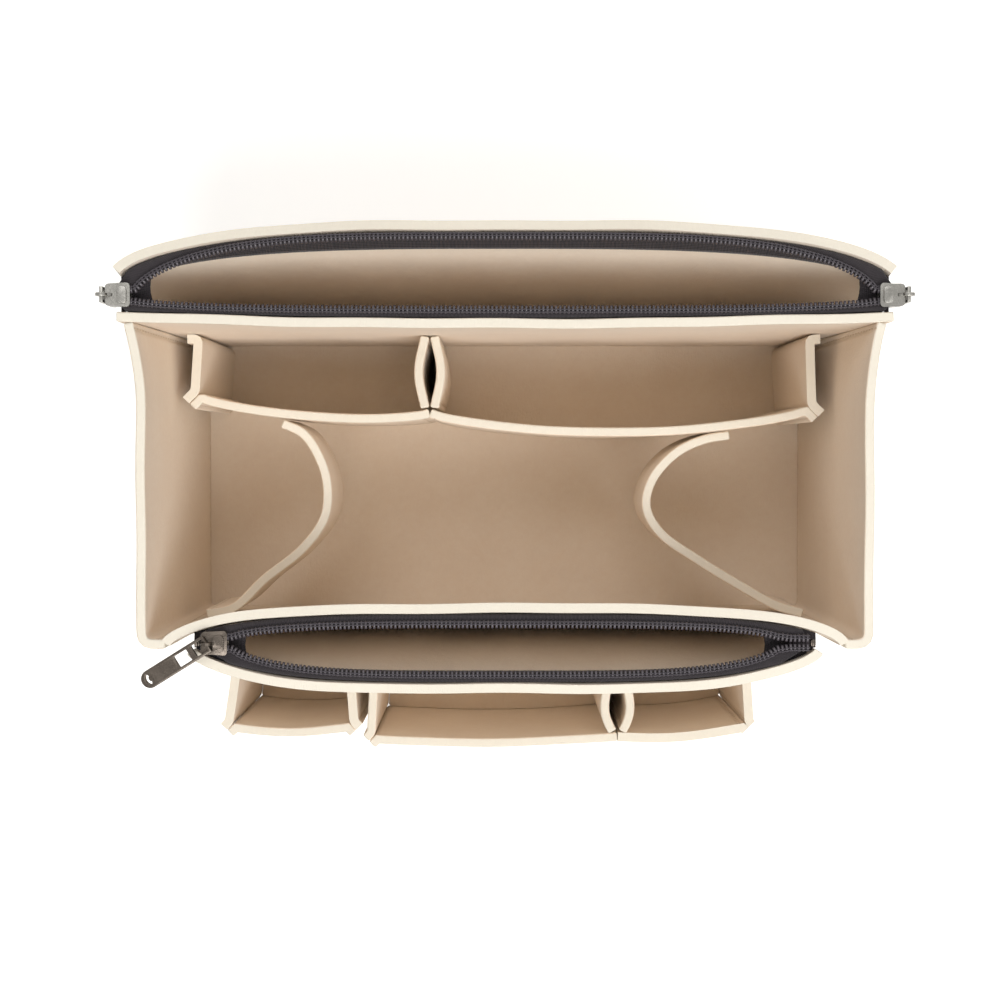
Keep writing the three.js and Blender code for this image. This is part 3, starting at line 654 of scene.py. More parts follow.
def side_plan(z):
    line = BODY_HALF - FELT / 2
    start = REAR_INNER_MID - FELT / 2 - SEAM
    share = 1 - np.arange(16) / 16
    x = line + SIDE_FLARE * share**2 * rise(z) ** 1.7
    y = start - FLARE_RUN + FLARE_RUN * share
    y[0] = rear_inner_y(x[0], z) - FELT / 2 - SEAM
    corner = (line, FRONT_INNER_MID)
    finish = (FRONT_INNER_HALF + SEAM, FRONT_INNER_MID)
    bend = filleted([(line, start - FLARE_RUN), corner, finish], CORNER)
    return np.concatenate([np.stack([x, y], axis=1), bend])[::-1]


for side, sign in (("right", 1), ("left", -1)):
    standing_panel(
        f"{side}_side_wall", lambda z: side_plan(z) * (sign, 1),
        FELT, WALL_TOP, 72, WALL_ROWS, wave=0.22, sewn="foot",
    )
print("side walls made")

# %% [markdown]
# ## Inner pockets
# Two slip pockets hang on the rear wall. Each has a front panel that bows out, and
# gussets that reach back to the wall. At the outside corners front and gusset are
# pinched together and sewn, which leaves a small ear with no light between its sheets.
# In the middle the two gussets bow apart, and the gap between them is a loop for
# something narrow.

# %% Pocket tools
DIAGONAL = math.sqrt(0.5)
TAB_OFFSET = FELT / 2 + 0.02
LOOP_SIDE = (FELT + SEAM) / 2


def pinched(x, y, out_x, tab):
    """The two sheets of a corner that is pinched together along its diagonal."""
    tip = np.array([x + out_x * tab * DIAGONAL, y - tab * DIAGONAL])
    shift = np.array([out_x, -1]) * TAB_OFFSET * DIAGONAL
    side = np.array([shift[0], -shift[1]])
    front = np.array([-shift[0], shift[1]])
    corner = np.array([x, y])
    return {"side": (corner + side, tip + side), "front": (corner + front, tip + front)}


def wall_face(x):
    faces = [rear_inner_y(x, z) - FELT / 2 for z in (FELT, 90)]
    return min(faces) - SEAM


def pocket_face(name, corner, face, low, high):
    """A pocket's front panel, from the tip of its pinched corner along its face."""
    line = np.concatenate([[corner["front"][1]], face])
    standing_panel(name, line, low, high, 64, wave=0.12)


print("pocket tools ready")

# %% Inner pockets
INNER_TOP = 90.0
LOOP_X = -29.1
LOOP_FRONT = REAR_INNER_MID - 32.8
LOOP_BOW = 2.4
FLANGE = 4.2
INNER_TAB = 5
INNER_SOFTNESS = 0.7
inner_bows = {"left": 4.4, "right": 7.9}
inner_corners, inner_loop_ends = {}, {}
for side, out, x, y in (("left", -1, -119, 30.5), ("right", 1, 118.3, 25.5)):
    corner = inner_corners[side] = pinched(x, y, out, INNER_TAB)
    inner_loop_ends[side] = (LOOP_X + out * SEAM / 2, LOOP_FRONT)
    y = wall_face(x) - FELT / 2
    line = filleted([(x + out * FLANGE, y), (x, y), *corner["side"]], FELT)
    standing_panel(f"inner_{side}_pocket_{side}_gusset", line, FELT, INNER_TOP, 30)

for name, out in (("left_pocket_right", -1), ("right_pocket_left", 1)):
    x = LOOP_X + out * LOOP_SIDE
    start = (x, LOOP_FRONT + FELT / 2 + SEAM)
    line = bowed(start, (x, wall_face(LOOP_X)), out * LOOP_BOW, 0, 1.3)
    standing_panel(f"inner_{name}_gusset", line, FELT, INNER_TOP, 24, wave=0.05)

for side, corner in inner_corners.items():
    bow, end = inner_bows[side], inner_loop_ends[side]
    face = bowed(corner["front"][0], end, 0, -bow, INNER_SOFTNESS)
    pocket_face(f"inner_{side}_pocket_front", corner, face, FELT, INNER_TOP)
print("inner pockets made")

# %% [markdown]
# ## Outer pockets
# Three open boxes hang on the front wall. Their rear edges follow its bulge.

# %% Outer pockets
OUTER_FOOT, OUTER_TOP = 4.5, 88.0
OUTER_END = front_inner_y(FRONT_OUTER_HALF, FELT) - FELT - SEAM
OUTER_LOOP = (44.2, OUTER_END - 39.1)
OUTER_LOOP_BOW = 3.1
OUTER_FACE_BOW = 1.8


def front_face(x, z):
    return front_outer_y(x, z) - FELT / 2 - SEAM


def outer_gusset(name, corner, out, flare):
    rear = corner["side"][0][0] - out * flare

    def plan(z):
        y = front_face(rear, z) - FELT / 2
        return filleted([(rear + out * FLANGE, y), (rear, y), *corner["side"]], FELT)

    standing_panel(name, plan, OUTER_FOOT, OUTER_TOP, 32)


def outer_loop_line(out, z):
    x = OUTER_LOOP[0] + out * LOOP_SIDE
    start = (x, front_face(OUTER_LOOP[0], z))
    finish = (x, OUTER_LOOP[1] + FELT / 2 + SEAM)
    return bowed(start, finish, out * OUTER_LOOP_BOW, 0, 1, 2)


outer_corners = {}
for place, x, depth, out, tab, flare in (
    ("left_pocket_left", -106.5, 34.3, -1, 3, 4),
    ("left_pocket_right", -60.2, 34.3, 1, 3, 2),
    ("centre_pocket_left", -51, 38.8, -1, 3, 2),
    ("right_pocket_right", 94.5, 34.3, 1, 1.5, 2),
):
    outer_corners[place] = pinched(x, OUTER_END - depth, out, tab), out, flare
    outer_gusset(f"outer_{place}_gusset", *outer_corners[place])

for name, out in (("centre_pocket_right", -1), ("right_pocket_left", 1)):
    standing_panel(
        f"outer_{name}_gusset", lambda z: outer_loop_line(out, z),
        OUTER_FOOT, OUTER_TOP, 24, wave=0.05,
    )

start, finish = (
    outer_corners["left_pocket_" + side][0]["front"] for side in ("left", "right")
)
outer_faces = {"left": bowed(start[0], finish[0], 0, -OUTER_FACE_BOW)}
line = np.concatenate([[start[1]], outer_faces["left"], [finish[1]]])
standing_panel("outer_left_pocket_front", line, OUTER_FOOT, OUTER_TOP, 48)

for side, place, out in (
    ("centre", "centre_pocket_left", -1), ("right", "right_pocket_right", 1)
):
    corner = outer_corners[place][0]
    end = (OUTER_LOOP[0] + out * SEAM / 2, OUTER_LOOP[1])
    face = outer_faces[side] = bowed(corner["front"][0], end, 0, -OUTER_FACE_BOW)
    pocket_face(f"outer_{side}_pocket_front", corner, face, OUTER_FOOT, OUTER_TOP)
print("outer pockets made")

# %% [markdown]
# Each pocket has a bottom that is cut to its plan: the sides follow the gussets and the
# front edge follows the bow of the front. A ring of points takes that outline, is
# filled, and is extruded to the thickness of the felt.

# %% Pocket bottoms
INSET = FELT / 2 + 0.08


def gusset_side(corner, out, flare):
    """The side of a bottom beside a pinched gusset, from the wall to the front."""
    front_x = corner["side"][0][0]
    wall_x = front_x - out * flare
    front_y = corner["front"][0][1]
    flange = front_face(wall_x, OUTER_FOOT) - FELT / 2
    reach = FELT + INSET
    bend = [
        (
            wall_x + out * (FELT - reach * math.cos(t)),
            flange - FELT + reach * math.sin(t),
        )
        for t in np.radians([72, 50, 28, 0])
    ]
    near = front_y + INSET
    line_x = front_x + (wall_x - front_x) * (near + 1 - front_y) / (flange - front_y)
    line_x -= out * INSET
    return [*bend, (line_x, near + 1), (front_x - out * (INSET + 1), near)]


def loop_side(out):
    """The side of a bottom beside a gusset of the outer loop."""
    x = OUTER_LOOP[0] + out * (LOOP_SIDE + INSET)
    rear = front_face(OUTER_LOOP[0], OUTER_FOOT) + 0.15
    line = outer_loop_line(out, OUTER_FOOT)[2:-2:4]
    points = [(px + out * INSET, py) for px, py in line if py < rear - 0.5]
    return [(x, rear), *points, (x, OUTER_LOOP[1] + INSET)]


def pressed_plate(outline, low, high):
    """A flat piece with that outline, filled and extruded up to its thickness."""
    outline = [(float(x), float(y)) for x, y in outline]
    bpy.ops.mesh.primitive_circle_add(vertices=len(outline), fill_type="NGON")
    plate = bpy.context.object
    ahead = outline[1:] + outline[:1]
    if sum(a[0] * b[1] - b[0] * a[1] for a, b in zip(outline, ahead)) <= 0:
        outline.reverse()
    for vertex, (x, y) in zip(plate.data.vertices, outline):
        vertex.co = (x * MM, y * MM, low * MM)
    rise_by = (0, 0, (high - low) * MM)
    edited(bpy.ops.mesh.extrude_region_move, TRANSFORM_OT_translate={"value": rise_by})
    edited(bpy.ops.mesh.normals_make_consistent, inside=False)
    return plate


sides = {place: gusset_side(*corner) for place, corner in outer_corners.items()}
pocket_sides = {
    "left": (sides["left_pocket_left"], sides["left_pocket_right"]),
    "centre": (sides["centre_pocket_left"], loop_side(-1)),
    "right": (loop_side(1), sides["right_pocket_right"]),
}
for side, (left, right) in pocket_sides.items():
    start, finish = left[-1][0] + FELT, right[-1][0] - FELT
    ahead = sorted((x, y + INSET) for x, y in outer_faces[side] if start < x < finish)
    outline = [*left, *ahead[::4], *right[::-1]]
    bottom = pressed_plate(outline, OUTER_FOOT, OUTER_FOOT + FELT)
    bevelled(bottom, level, 0.5, 2)
    dressed(bottom, felt_face)
    bpy.ops.object.shade_smooth_by_angle(angle=math.radians(35))
    node = f"outer_{side}_pocket_bottom"
    settle(bottom, node + "_felt", [node])
print("pocket bottoms made")

# %% [markdown]
# ## Holder straps
# Two upright bands run from the front corners to the inner pockets and hold a round
# thing in each corner. A smooth curve goes through the measured points.

# %% Holder straps
def smooth_line(points, count=121):
    """A centripetal curve through points, as a flexible band takes."""
    p = np.asarray(points, float)
    p = np.concatenate([[2 * p[0] - p[1]], p, [2 * p[-1] - p[-2]]])
    line = []
    for a, b, c, d in zip(p, p[1:], p[2:], p[3:]):
        t = np.cumsum([0, *(np.linalg.norm(v) ** 0.5 for v in (b - a, c - b, d - c))])
        for s in np.linspace(t[1], t[2], 16, endpoint=False):
            points = [a, b, c, d]
            for starts, ends in (((0, 1, 2), (1, 2, 3)), ((0, 1), (2, 3)), ([1], [2])):
                points = [
                    near + (far - near) * (s - t[i]) / (t[j] - t[i])
                    for near, far, i, j in zip(points, points[1:], starts, ends)
                ]
            line.append(points[0])
    return resampled([*line, p[-2]], count)


STRAP_HALF = 128.0
STRAP_LOW, STRAP_TOP = 35.0, 85.0
strap_shares = {
    "left": [
        (-0.914, 0), (-0.836, 0.03), (-0.742, 0.17), (-0.625, 0.334), (-0.551, 0.51),
        (-0.543, 0.67), (-0.566, 0.81), (-0.617, 0.945), (-0.68, 1),
    ],
    "right": [
        (0.914, 0), (0.836, 0.045), (0.734, 0.15), (0.594, 0.306), (0.477, 0.46),
        (0.4375, 0.6), (0.457, 0.757), (0.523, 0.9), (0.61, 0.976), (0.6875, 1),
    ],
}
for side, shares in strap_shares.items():
    start = float(front_inner_y(shares[0][0] * STRAP_HALF, STRAP_TOP)) + FELT + SEAM
    a, b = inner_corners[side]["front"][0], inner_loop_ends[side]
    share = (shares[-1][0] * STRAP_HALF - a[0]) / (b[0] - a[0])
    bow = inner_bows[side] * math.sin(math.pi * share) ** INNER_SOFTNESS
    finish = a[1] + (b[1] - a[1]) * share - bow - FELT - SEAM
    line = smooth_line(
        [(x * STRAP_HALF, start + (finish - start) * y) for x, y in shares]
    )
    standing_panel(f"{side}_holder_strap", line, STRAP_LOW, STRAP_TOP, 80, 10, wave=0.3)
print("straps made")

# %% [markdown]
# ## Zip tape and teeth
# A tape is woven from dark thread and sewn inside the top of each wall. Its free edge
# carries the teeth: a plastic spiral whose turns stand across the tape as small
# rounded bars. One bar is modelled and copied along the edge.

# %% Tape and tooth finishes
finish = Finish("zip_tape_weave")
flat = finish.place(source="UV")
ribs = finish.bands("X", flat, 300.0, 0.4, Detail=1.0)
picks = finish.bands("Y", flat, 420.0, 0.6, Detail=1.0)
weave = ribs * 0.6 + picks * 0.4
tone = weave * 0.6 + finish.noise(finish.place(), 240, 2.0) * 0.4
tape_material = finish.surface(
    Base_Color=finish.mix(tone, colour(22, 19, 22), colour(58, 51, 55)),
    Roughness=0.82,
    Normal=finish.bump(weave, 0.00018),
    Sheen_Weight=0.15,
    Sheen_Roughness=0.4,
)
finish = Finish("zip_tooth_plastic")
grime = finish.noise(finish.place(), 900, 2.0)
tooth_material = finish.surface(
    Base_Color=finish.mix(grime, colour(48, 43, 47), colour(92, 85, 90)),
    Roughness=grime * 0.15 + 0.26,
    Normal=finish.bump(grime, 0.00004),
    Coat_Weight=0.15,
)
print("zip finishes:", tape_material.name, tooth_material.name)

# %% Zip lines
TAPE = 0.7
TAPE_TOP = WALL_TOP - 0.6
TAPE_FOOT = TAPE_TOP - 13
TAPE_UNDERSIDE = TAPE_TOP - TAPE
NOSE_HALF, MESH_HALF = 1.8, 1.25
NOSE_GAP = 2
STOP = 1.8
zips = {
    "rear": {
        "y": 63.6, "inner": 59.0, "outer": 84.2, "slider": 137, "spare": -0.4,
        "length": 8.8, "nose": 8.8, "tail": 7.9, "eye": 5.4,
    },
    "front": {
        "y": -59.9, "inner": -53.7, "outer": -70.87, "slider": 103.4, "spare": 2.2,
        "length": 9.4, "nose": 9.0, "tail": 8.0, "eye": 2.5,
    },
}


def edge_end(zip_line):
    return zip_line["slider"] + zip_line["length"] / 2 + zip_line["spare"] - STOP


def edge_side(zip_line, layer):
    return np.sign(zip_line[layer] - zip_line["y"])


def edge_y(zip_line, layer, x):
    """Where the tape's edge runs: open up to the slider's nose, then closed."""
    nose = zip_line["slider"] - zip_line["length"] / 2 - NOSE_GAP
    reach = np.abs(x)
    closing = np.clip((reach - nose - NOSE_GAP) / 2.8, 0, 1)
    closed = NOSE_HALF + (MESH_HALF - NOSE_HALF) * closing
    open_by = abs(zip_line[layer] - zip_line["y"]) - NOSE_HALF
    opened = NOSE_HALF + open_by * (1 - np.minimum(1, reach / nose) ** 4) ** 0.7
    off = np.where(reach >= nose, closed, opened)
    return zip_line["y"] + edge_side(zip_line, layer) * off


def edge_line(zip_line, layer):
    x = np.linspace(-edge_end(zip_line), edge_end(zip_line), 4001)
    return np.column_stack([x, edge_y(zip_line, layer, x)])


print("zip lengths:", [round(2 * edge_end(z), 1) for z in zips.values()])

# %% Tapes
def woven(piece, size, thickness):
    """Gives a strip of tape its weave, laid out in metres, and its thickness."""
    marks = piece.data.uv_layers.active.data
    flat = np.empty(len(marks) * 2)
    marks.foreach_get("uv", flat)
    marks.foreach_set("uv", (flat.reshape(-1, 2) * size).ravel())
    dressed(piece, tape_material)
    thickened(piece, thickness)
    shade_all(piece)


def zip_tape(place, layer, side, share):
    """A tape that lies on its wall, turns over at the top and reaches the teeth."""
    plan = wall_plans[f"{place}_{layer}"]
    top = TAPE_TOP - TAPE / 2
    half = plan(TAPE_TOP)[:, 0].max() * share
    run = spread(121, 75)

    def on_wall(z, height):
        line = np.stack([run * half, np.interp(run * half, *plan(z).T)], axis=1)
        return raised(beside(line, side * (FELT / 2 + SEAM + TAPE / 2)), height)

    foot, bend = on_wall(TAPE_FOOT, TAPE_FOOT), on_wall(TAPE_TOP, top)
    x = run * edge_end(zips[place])
    free = raised(np.column_stack([x, edge_y(zips[place], layer, x)]), top)
    turn, out = foot + (bend - foot) * 0.86, bend + (free - bend) * 0.3
    rows = [foot + (bend - foot) * t for t in np.linspace(0, 0.86, 7)]
    rows += curved(turn, bend, out, np.linspace(0.2, 1, 5))
    rows += [out + (free - out) * t for t in np.linspace(0.2, 1, 5)]
    piece = sheet_grid(np.array(rows))
    woven(piece, (2 * half * MM, 0.017), TAPE)
    node = f"{place}_zip_{layer}_tape"
    return settle(piece, node + "_woven", [node])


tapes = {
    (place, layer): zip_tape(place, layer, side, share)
    for place, layer, side, share in (
        ("rear", "inner", 1, 0.977),
        ("rear", "outer", -1, 0.977),
        ("front", "inner", -1, 0.88),
        ("front", "outer", 1, 0.88),
    )
}
print("tapes:", len(tapes))

# %% [markdown]
# At each end of a zip the spare tape is folded down and sewn across the corner of the
# pocket, so no light falls through beside the slider. It is a small hammock between
# the two walls, just below the sliders' path.

# %% Folded tape ends
FOLD = 0.6
FOLD_HEIGHT = TAPE_FOOT + 9.4
folds = {
    "rear": (124.5, 137.0, (("inner", 134.9), ("outer", 133.4))),
    "front": (91.0, 111.4, (("outer", 97.6), ("inner", 105.4))),
}


def tape_end(place, side, sign):
    """A fold slung between two walls; past each tape it lies on the bare wall."""
    start, finish, tape_stops = folds[place]
    x = np.linspace(start, finish, 33)
    rims = []
    for (layer, stop), inward in zip(tape_stops, (1, -1)):
        wall = wall_plans[f"{place}_{layer}"](FOLD_HEIGHT)
        lines = [
            np.interp(x, *beside(wall, inward * (FELT / 2 + gap)).T)
            for gap in (SEAM + TAPE + 0.25, 0.2)
        ]
        rims.append(np.where(x < stop + 0.25, *lines))
    share = np.linspace(0, 1, 9)[:, None]
    hang = np.sin(math.pi * share)
    free = 1 - (x - start) / (finish - start)
    places = np.stack([
        sign * (x + 2.4 * hang * free**2),
        rims[0] * (1 - share) + rims[1] * share,
        FOLD_HEIGHT - 1.6 * hang * free**0.5,
    ], axis=2)
    piece = sheet_grid(places[:, ::sign])
    woven(piece, 0.014, FOLD)
    return settle(piece, f"{place}_zip_{side}_tape_end")


tape_ends = {
    (place, side): tape_end(place, side, sign)
    for side, sign in (("right", 1), ("left", -1)) for place in folds
}
print("folded tape ends:", len(tape_ends))

# %% [markdown]
# One tooth is a short bar with a swollen head. A box is stretched, its head is grown
# by moving the end face, and a bevel rounds it all. It is modelled at the origin and
# laid along the tape's edge at the real pitch of the spiral.

# %% One tooth
TOOTH_PITCH = 1.5
CRESTS = {0.1: 1.8, -1.1: 1.66}


def one_tooth():
    tooth = box_piece((-0.42, -1.9, 0.05), (0.42, 1.0, 1.35))
    for y in CRESTS:
        edited(bpy.ops.mesh.bisect, plane_co=(0, y * MM, 0), plane_no=(0, 1, 0))
    for vertex in tooth.data.vertices:
        y, upper = vertex.co.y / MM, vertex.co.z > 0.5 * MM
        if y > 0.5:
            vertex.co.x *= 1.25
            vertex.co.z *= 0.9
        if y < -1.5:
            vertex.co.z *= 0.62
        for at, crest in CRESTS.items():
            if abs(y - at) < 0.01 and upper:
                vertex.co.z = crest * MM
    edited(bpy.ops.mesh.bevel, offset=0.2 * MM, segments=1)
    return tooth


def built(name, points, faces):
    """A mesh piece from its points, in metres, and its faces."""
    mesh = bpy.data.meshes.new(name)
    mesh.from_pydata(points.tolist(), [], faces)
    mesh.update()
    piece = bpy.data.objects.new(name, mesh)
    scene.collection.objects.link(piece)
    return piece


def copied_along(name, points, faces, places, turns):
    """One mesh of many copies: each turned about Z and set at its place, in metres."""
    copies, all_faces = [], []
    for index, (place, turn) in enumerate(zip(places, turns)):
        c, s = math.cos(turn), math.sin(turn)
        copies.append(points @ np.array([[c, s, 0], [-s, c, 0], [0, 0, 1]]) + place)
        start = index * len(points)
        all_faces += [tuple(v + start for v in face) for face in faces]
    return built(name, np.concatenate(copies), all_faces)


tooth = one_tooth()
tooth_points = np.array([v.co for v in tooth.data.vertices])
tooth_faces = [tuple(face.vertices) for face in tooth.data.polygons]
bpy.data.objects.remove(tooth)
print("faces in one tooth:", len(tooth_faces))

# %% Rows of teeth
coils, tooth_counts = {}, {}
for place, layer in tapes:
    line = edge_line(zips[place], layer)
    count = tooth_counts[place, layer] = int(run_along(line)[-1] / TOOTH_PITCH)
    spots = resampled(line, 2 * count + 1)[1::2]
    along = np.gradient(spots, axis=0)
    turned = math.pi if edge_side(zips[place], layer) > 0 else 0
    turns = np.arctan2(along[:, 1], along[:, 0]) + turned
    places = raised(spots, TAPE_TOP) * MM
    coil = copied_along("teeth", tooth_points, tooth_faces, places, turns)
    dressed(coil, tooth_material)
    shade_all(coil)
    node = f"{place}_zip_{layer}_coil"
    coils[place, layer] = settle(coil, node + "_teeth", [node])
    print(node, "teeth:", count)

# %% [markdown]
# The spiral is sewn to its tape with two threads that run over its turns. Each thread
# is a thin tube that rises over a tooth and sinks into the gap behind it.

# %% Threads over the teeth
THREAD_RADIUS = 0.2


def chosen(*pieces):
    """Selects these pieces alone, and makes the first of them the active one."""
    bpy.ops.object.select_all(action="DESELECT")
    for piece in pieces:
        piece.select_set(True)
    bpy.context.view_layer.objects.active = pieces[0]


def tube(name, line, radius, sides=6):
    """A closed thin tube along a line of points, in millimetres."""
    along = directions(line)
    across = np.cross(along, (0, 0, 1))
    across /= np.linalg.norm(across, axis=1)[:, None]
    up = np.cross(across, along)
    turn = (np.arange(sides) * 2 * math.pi / sides)[None, :, None]
    ring = across[:, None] * np.cos(turn) + up[:, None] * np.sin(turn)
    points = (line[:, None] + radius * ring).reshape(-1, 3) * MM
    faces = []
    for row in range(0, len(points) - sides, sides):
        for side in range(sides):
            a, b = row + side, row + (side + 1) % sides
            faces.append((a, b, b + sides, a + sides))
    faces.append(tuple(range(sides))[::-1])
    faces.append(tuple(range(len(points) - sides, len(points))))
    return built(name, points, faces)


finish = Finish("sewing_thread")
twist = finish.bands("DIAGONAL", finish.place(), 900.0, 0.5)
thread_material = finish.surface(
    Base_Color=finish.mix(twist, colour(34, 29, 34), colour(78, 71, 79)),
    Roughness=0.6,
    Normal=finish.bump(twist, 0.00006),
    Sheen_Weight=0.2,
)


def strand(zip_line, layer, count, inset, height):
    """A thread that runs inset from the tape's edge and over each tooth."""
    line = resampled(edge_line(zip_line, layer), 2 * count + 1)
    wave = np.cos(np.arange(len(line)) * math.pi)
    line = beside(line, edge_side(zip_line, layer) * inset)
    return tube("thread", raised(line, TAPE_TOP + height - 0.14 * wave), THREAD_RADIUS)


threads = {}
for (place, layer), count in tooth_counts.items():
    chosen(*(
        strand(zips[place], layer, count, inset, height)
        for inset, height in ((0.45, 1.72), (1.35, 1.6))
    ))
    bpy.ops.object.join()
    thread = bpy.context.object
    dressed(thread, thread_material)
    shade_all(thread)
    threads[place, layer] = settle(thread, f"{place}_zip_{layer}_threads")
print("threads:", [len(piece.data.polygons) for piece in threads.values()])

# %% [markdown]
# ## Metal
# The sliders and pulls are cast metal with a thin bright plating at the rear and a
# darker one at the front. Fine scratches and a slow cloudiness break up the gloss.

# %% Metal finishes
def plated(name, dark, light, gloss):
    finish = Finish(name)
    whole = finish.place()
    clouds = finish.noise(whole, 160, 3.0)
    scratches = finish.noise(finish.place((1, 14, 1), (0, 0, 0.4)), 900, 2.0)
    grain = finish.noise(whole, 1600, 2.0)
    return finish.surface(
        Base_Color=finish.mix(clouds * 0.7 + grain * 0.3, dark, light),
        Metallic=1.0,
        Roughness=clouds * 0.12 + scratches * 0.12 + gloss,
        Normal=finish.bump(scratches * 0.6 + grain * 0.4, 0.00003),
    )


metals = {
    "nickel": plated("nickel_plate", colour(112, 110, 106), colour(172, 170, 164), 0.13),
    "gunmetal": plated("dark_plate", colour(62, 56, 51), colour(108, 100, 92), 0.16),
}
metal_of = {"rear": "nickel", "front": "gunmetal"}
print("metal finishes:", list(metals))

# %% [markdown]
# ## Sliders
# A slider is cast in one piece: two plates held apart by a divider at the nose, with
# flanges that keep the teeth in. It is built as a solid plate from which the channel
# for the teeth is cut, with a raised crown, and an eye that carries the pull. All its
# edges are rounded at the end, as casting and tumbling leave them.

# %% Slider tools
def outline_of(size, inset=0.0, setback=0.0):
    """The slider's outline from above, wider at its nose, with rounded corners."""
    tail, nose = size["tail"] / 2 - inset, size["nose"] / 2 - inset
    back, tip = -size["length"] / 2 + inset + setback, size["length"] / 2 - inset
    corners = [
        (0, -tail), (tip, -nose), (tip, nose), (back, tail), (back, -tail), (0, -tail)
    ]
    return filleted(corners, 1.6, 5)[:-1]


def edges_rounded(piece, width, segments=2, angle=38):
    chosen(piece)
    edge = rounded(piece, width, segments, angle)
    bpy.ops.object.modifier_apply(modifier=edge.name)
    return piece


def combined(piece, other, operation="UNION"):
    """Adds or cuts another solid, which is then removed."""
    chosen(piece)
    change = piece.modifiers.new("change", "BOOLEAN")
    change.object = other
    change.operation = operation
    change.solver = "EXACT"
    bpy.ops.object.modifier_apply(modifier=change.name)
    bpy.data.objects.remove(other)
    return piece


def round_points(x, y, radius, start, finish, count):
    turn = np.radians(np.linspace(start, finish, count))
    return [(x + radius * math.cos(t), y + radius * math.sin(t)) for t in turn]


def drum(x, z, radius, width, sides=24):
    """A cylinder that lies along Y, used as a cutter."""
    bpy.ops.mesh.primitive_cylinder_add(
        vertices=sides, radius=radius * MM, depth=width * MM,
        location=(x * MM, 0, z * MM), rotation=(math.pi / 2, 0, 0),
    )
    bpy.ops.object.transform_apply(location=True, rotation=True, scale=True)
    return bpy.context.object


def placed(piece, place, turn):
    """Puts a piece that was modelled at the origin where it belongs, in its mesh."""
    chosen(piece)
    piece.location = [c * MM for c in place]
    piece.rotation_euler = turn
    bpy.ops.object.transform_apply(location=True, rotation=True, scale=True)
    bpy.ops.object.shade_smooth_by_angle(angle=math.radians(40))
    return piece


def metalled(piece, node, ending, place, body):
    """Gives a slider, a pull or a stop its metal, and settles it on its body."""
    metal = metal_of[place]
    dressed(piece, metals[metal])
    settle(piece, node + ending, [node], body)
    print(node, "faces:", len(piece.data.polygons))


print("slider tools ready")

# %% One slider
PLATE_FOOT, PLATE_HEAD = 2.8, 3.9
EYE_HEIGHT = 5.4
FLANGE_WIDTH = 0.6


def one_slider(size):
    half, eye = size["length"] / 2, -size["eye"]
    tail, nose = (size[end] / 2 - FLANGE_WIDTH for end in ("tail", "nose"))
    body = pressed_plate(outline_of(size), 1.0, PLATE_HEAD)
    channel = pressed_plate(
        [(-2 * half, -tail), (2 * half, -nose), (2 * half, nose), (-2 * half, tail)],
        -1, PLATE_FOOT,
    )
    body = combined(body, channel, "DIFFERENCE")
    under = pressed_plate(outline_of(size), -1.4, -0.3)
    divider = pressed_plate(
        [(half - 2.8, 0), (half - 1.3, -0.5), (half - 0.8, 0), (half - 1.3, 0.5)],
        -0.8, 3.3,
    )
    crown = edges_rounded(pressed_plate(outline_of(size, 1.2, 3.0), 3.4, 4.8), 0.42, 3)
    rim = round_points(eye, EYE_HEIGHT, 2.1, 0, 243, 20)
    lug = pressed_plate([(eye + 4.2, 3.4), *rim, (eye + 1.55, 3.4)], -0.6, 0.6)
    lug = placed(lug, (0, 0, 0), (math.pi / 2, 0, 0))
    lug = combined(lug, drum(eye, EYE_HEIGHT, 1.25, 4), "DIFFERENCE")
    lug = edges_rounded(lug, 0.22, 2, 50)
    for part in (under, divider, crown, lug):
        body = combined(body, part)
    return edges_rounded(body, 0.2)


slider_places = {
    "rear_right": ("rear", 1, math.pi), "rear_left": ("rear", -1, 0),
    "front": ("front", -1, 0),
}
for name, (place, sign, turn) in slider_places.items():
    spot = (sign * zips[place]["slider"], zips[place]["y"], TAPE_UNDERSIDE)
    slider = placed(one_slider(zips[place]), spot, (0, 0, turn))
    node = name + "_slider"
    metalled(slider, node, "_cast", place, node)

# %% [markdown]
# ## Pulls
# A pull is stamped: a ring that sits in the eye, a tab with a square window, and a
# curved slot near its round end. Both faces keep a raised rim.

# %% Pulls
PULL_HALF = 0.6
RING_BAR, WINDOW_BAR = 2.2, 3.4
pull_sizes = {"rear": (25, 5.6, 4.6, 4.4), "front": (27.5, 6.6, 5, 5.2)}
pull_turns = {"rear": (-math.pi / 2, 0), "front": (-math.radians(7), math.radians(32))}


def one_pull(length, width, ring, window):
    half = width / 2
    inside = half - 1.1
    middle = -length + half + 0.9
    tip = round_points(-length + half, 0, half, 90, 270, 17)
    tab = pressed_plate([(0.5, half), *tip, (0.5, -half)], -PULL_HALF, PULL_HALF)
    slot = [
        *round_points(middle, 0, half - 0.95, 120, 240, 11),
        *round_points(middle, 0, half - 2.0, 240, 120, 11),
    ]
    near, far = -ring - RING_BAR, -ring - RING_BAR - window
    for cut in (
        box_piece((-ring, -inside, -2), (-0.5, inside, 2)),
        box_piece((far, -inside, -2), (near, inside, 2)),
        pressed_plate(slot, -2, 2),
    ):
        tab = combined(tab, cut, "DIFFERENCE")
    tab = edges_rounded(tab, 0.24, 3, 45)
    for low, high in ((0.42, 1.0), (-1.0, -0.42)):
        dish = box_piece(
            (middle, -inside, low), (-ring - WINDOW_BAR - window, inside, high)
        )
        tab = combined(tab, dish, "DIFFERENCE")
    return tab


for name, (place, sign, turn) in slider_places.items():
    x = sign * (zips[place]["slider"] + zips[place]["eye"])
    spot = (x, zips[place]["y"], TAPE_UNDERSIDE + EYE_HEIGHT)
    drop, yaw = pull_turns[place]
    pull = placed(one_pull(*pull_sizes[place]), spot, (0, drop, yaw + turn))
    node = name + "_pull"
    metalled(pull, node, "_stamped", place, node)

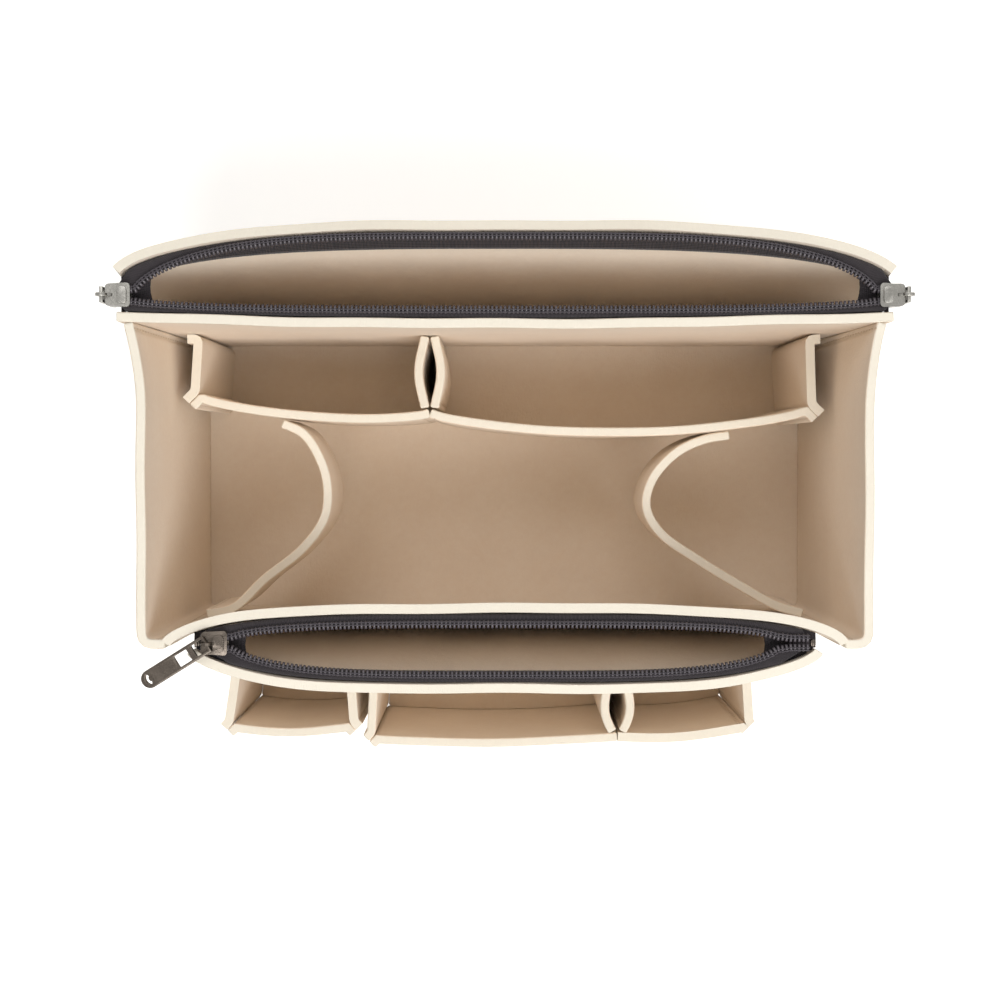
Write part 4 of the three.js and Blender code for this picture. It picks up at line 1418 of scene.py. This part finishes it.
# %% [markdown]
# ## End stops
# A stop is a small clip that is pressed round both rows of teeth. Its plate is
# extruded, rounded, and pinched by a groove across its middle.

# %% End stops
for place, zip_line in zips.items():
    near = edge_end(zip_line) + SEAM
    far = near + STOP
    for side, turn in (("right", 0), ("left", math.pi)):
        corners = [
            (near, -MESH_HALF), (far, -MESH_HALF), (far, MESH_HALF),
            (near, MESH_HALF), (near, -MESH_HALF), (far, -MESH_HALF),
        ]
        clip = pressed_plate(filleted(corners, 0.9, 4)[1:-1], 0, 2.4)
        clip = combined(clip, drum(near + STOP / 2, 2.75, 0.6, 6, 16), "DIFFERENCE")
        clip = edges_rounded(clip, 0.2)
        clip = placed(clip, (0, zip_line["y"], TAPE_UNDERSIDE), (0, 0, turn))
        metalled(clip, f"{place}_zip_{side}_stop", "_clip", place, "organizer")

# %% [markdown]
# ## When a zip closes
# When a slider runs, the open wall comes in to the zip line and stops beside the slider,
# which needs its own width between the walls. Each piece that gives way is listed with
# a plane along the zip, through two points (y, z): a wall's plane goes through its
# bottom seam, a tape's plane slopes from the closed teeth down to its seam on the wall.
# Each such piece gets a mesh of its own, and none is flattened here.

# %% What gives way when a zip closes
closing = {"rear": "rear_right_slide", "front": "front_slide"}


def flatten(piece, low, high):
    """Works out the axis of the plane through two points (y, z) along the zip, which is
    not used, and gives the piece a mesh of its own.
    """
    across, up = high[0] - low[0], high[1] - low[1]
    axis = Vector((0, up, -across)).normalized()
    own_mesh(piece)


for place, layer, foot, head, keep in (
    ("rear", "outer", 59.9, 69.5, 0.06),
    ("front", "inner", -60.4, -53.8, 0.4),
    ("front", "outer", -64.2, -65.8, 0.3),
):
    wall = walls[f"{place}_{layer}"]
    flatten(wall, (foot, FELT), (head, WALL_TOP))

for place, layer, foot, tape_keep, tooth_keep in (
    ("rear", "inner", 57.7, 0.1, 0.25),
    ("rear", "outer", 66.2, 0.08, 0.12),
    ("front", "inner", -56.8, 0.3, 0.25),
    ("front", "outer", -63.25, 0.3, 0.25),
):
    closed = float(zips[place]["y"] + edge_side(zips[place], layer) * MESH_HALF)
    head = (closed, TAPE_TOP - TAPE / 2)
    flatten(tapes[place, layer], (foot, TAPE_FOOT), head)
    for row in (coils[place, layer], threads[place, layer]):
        flatten(row, (closed, 0), (closed, WALL_TOP))

for (place, side), tape in tape_ends.items():
    joint = "rear_left_slide" if (place, side) == ("rear", "left") else closing[place]
    middle, keep = {"rear": (59.6, 0.08), "front": (-59.9, 0.25)}[place]
    flatten(tape, (middle, 0), (middle, WALL_TOP))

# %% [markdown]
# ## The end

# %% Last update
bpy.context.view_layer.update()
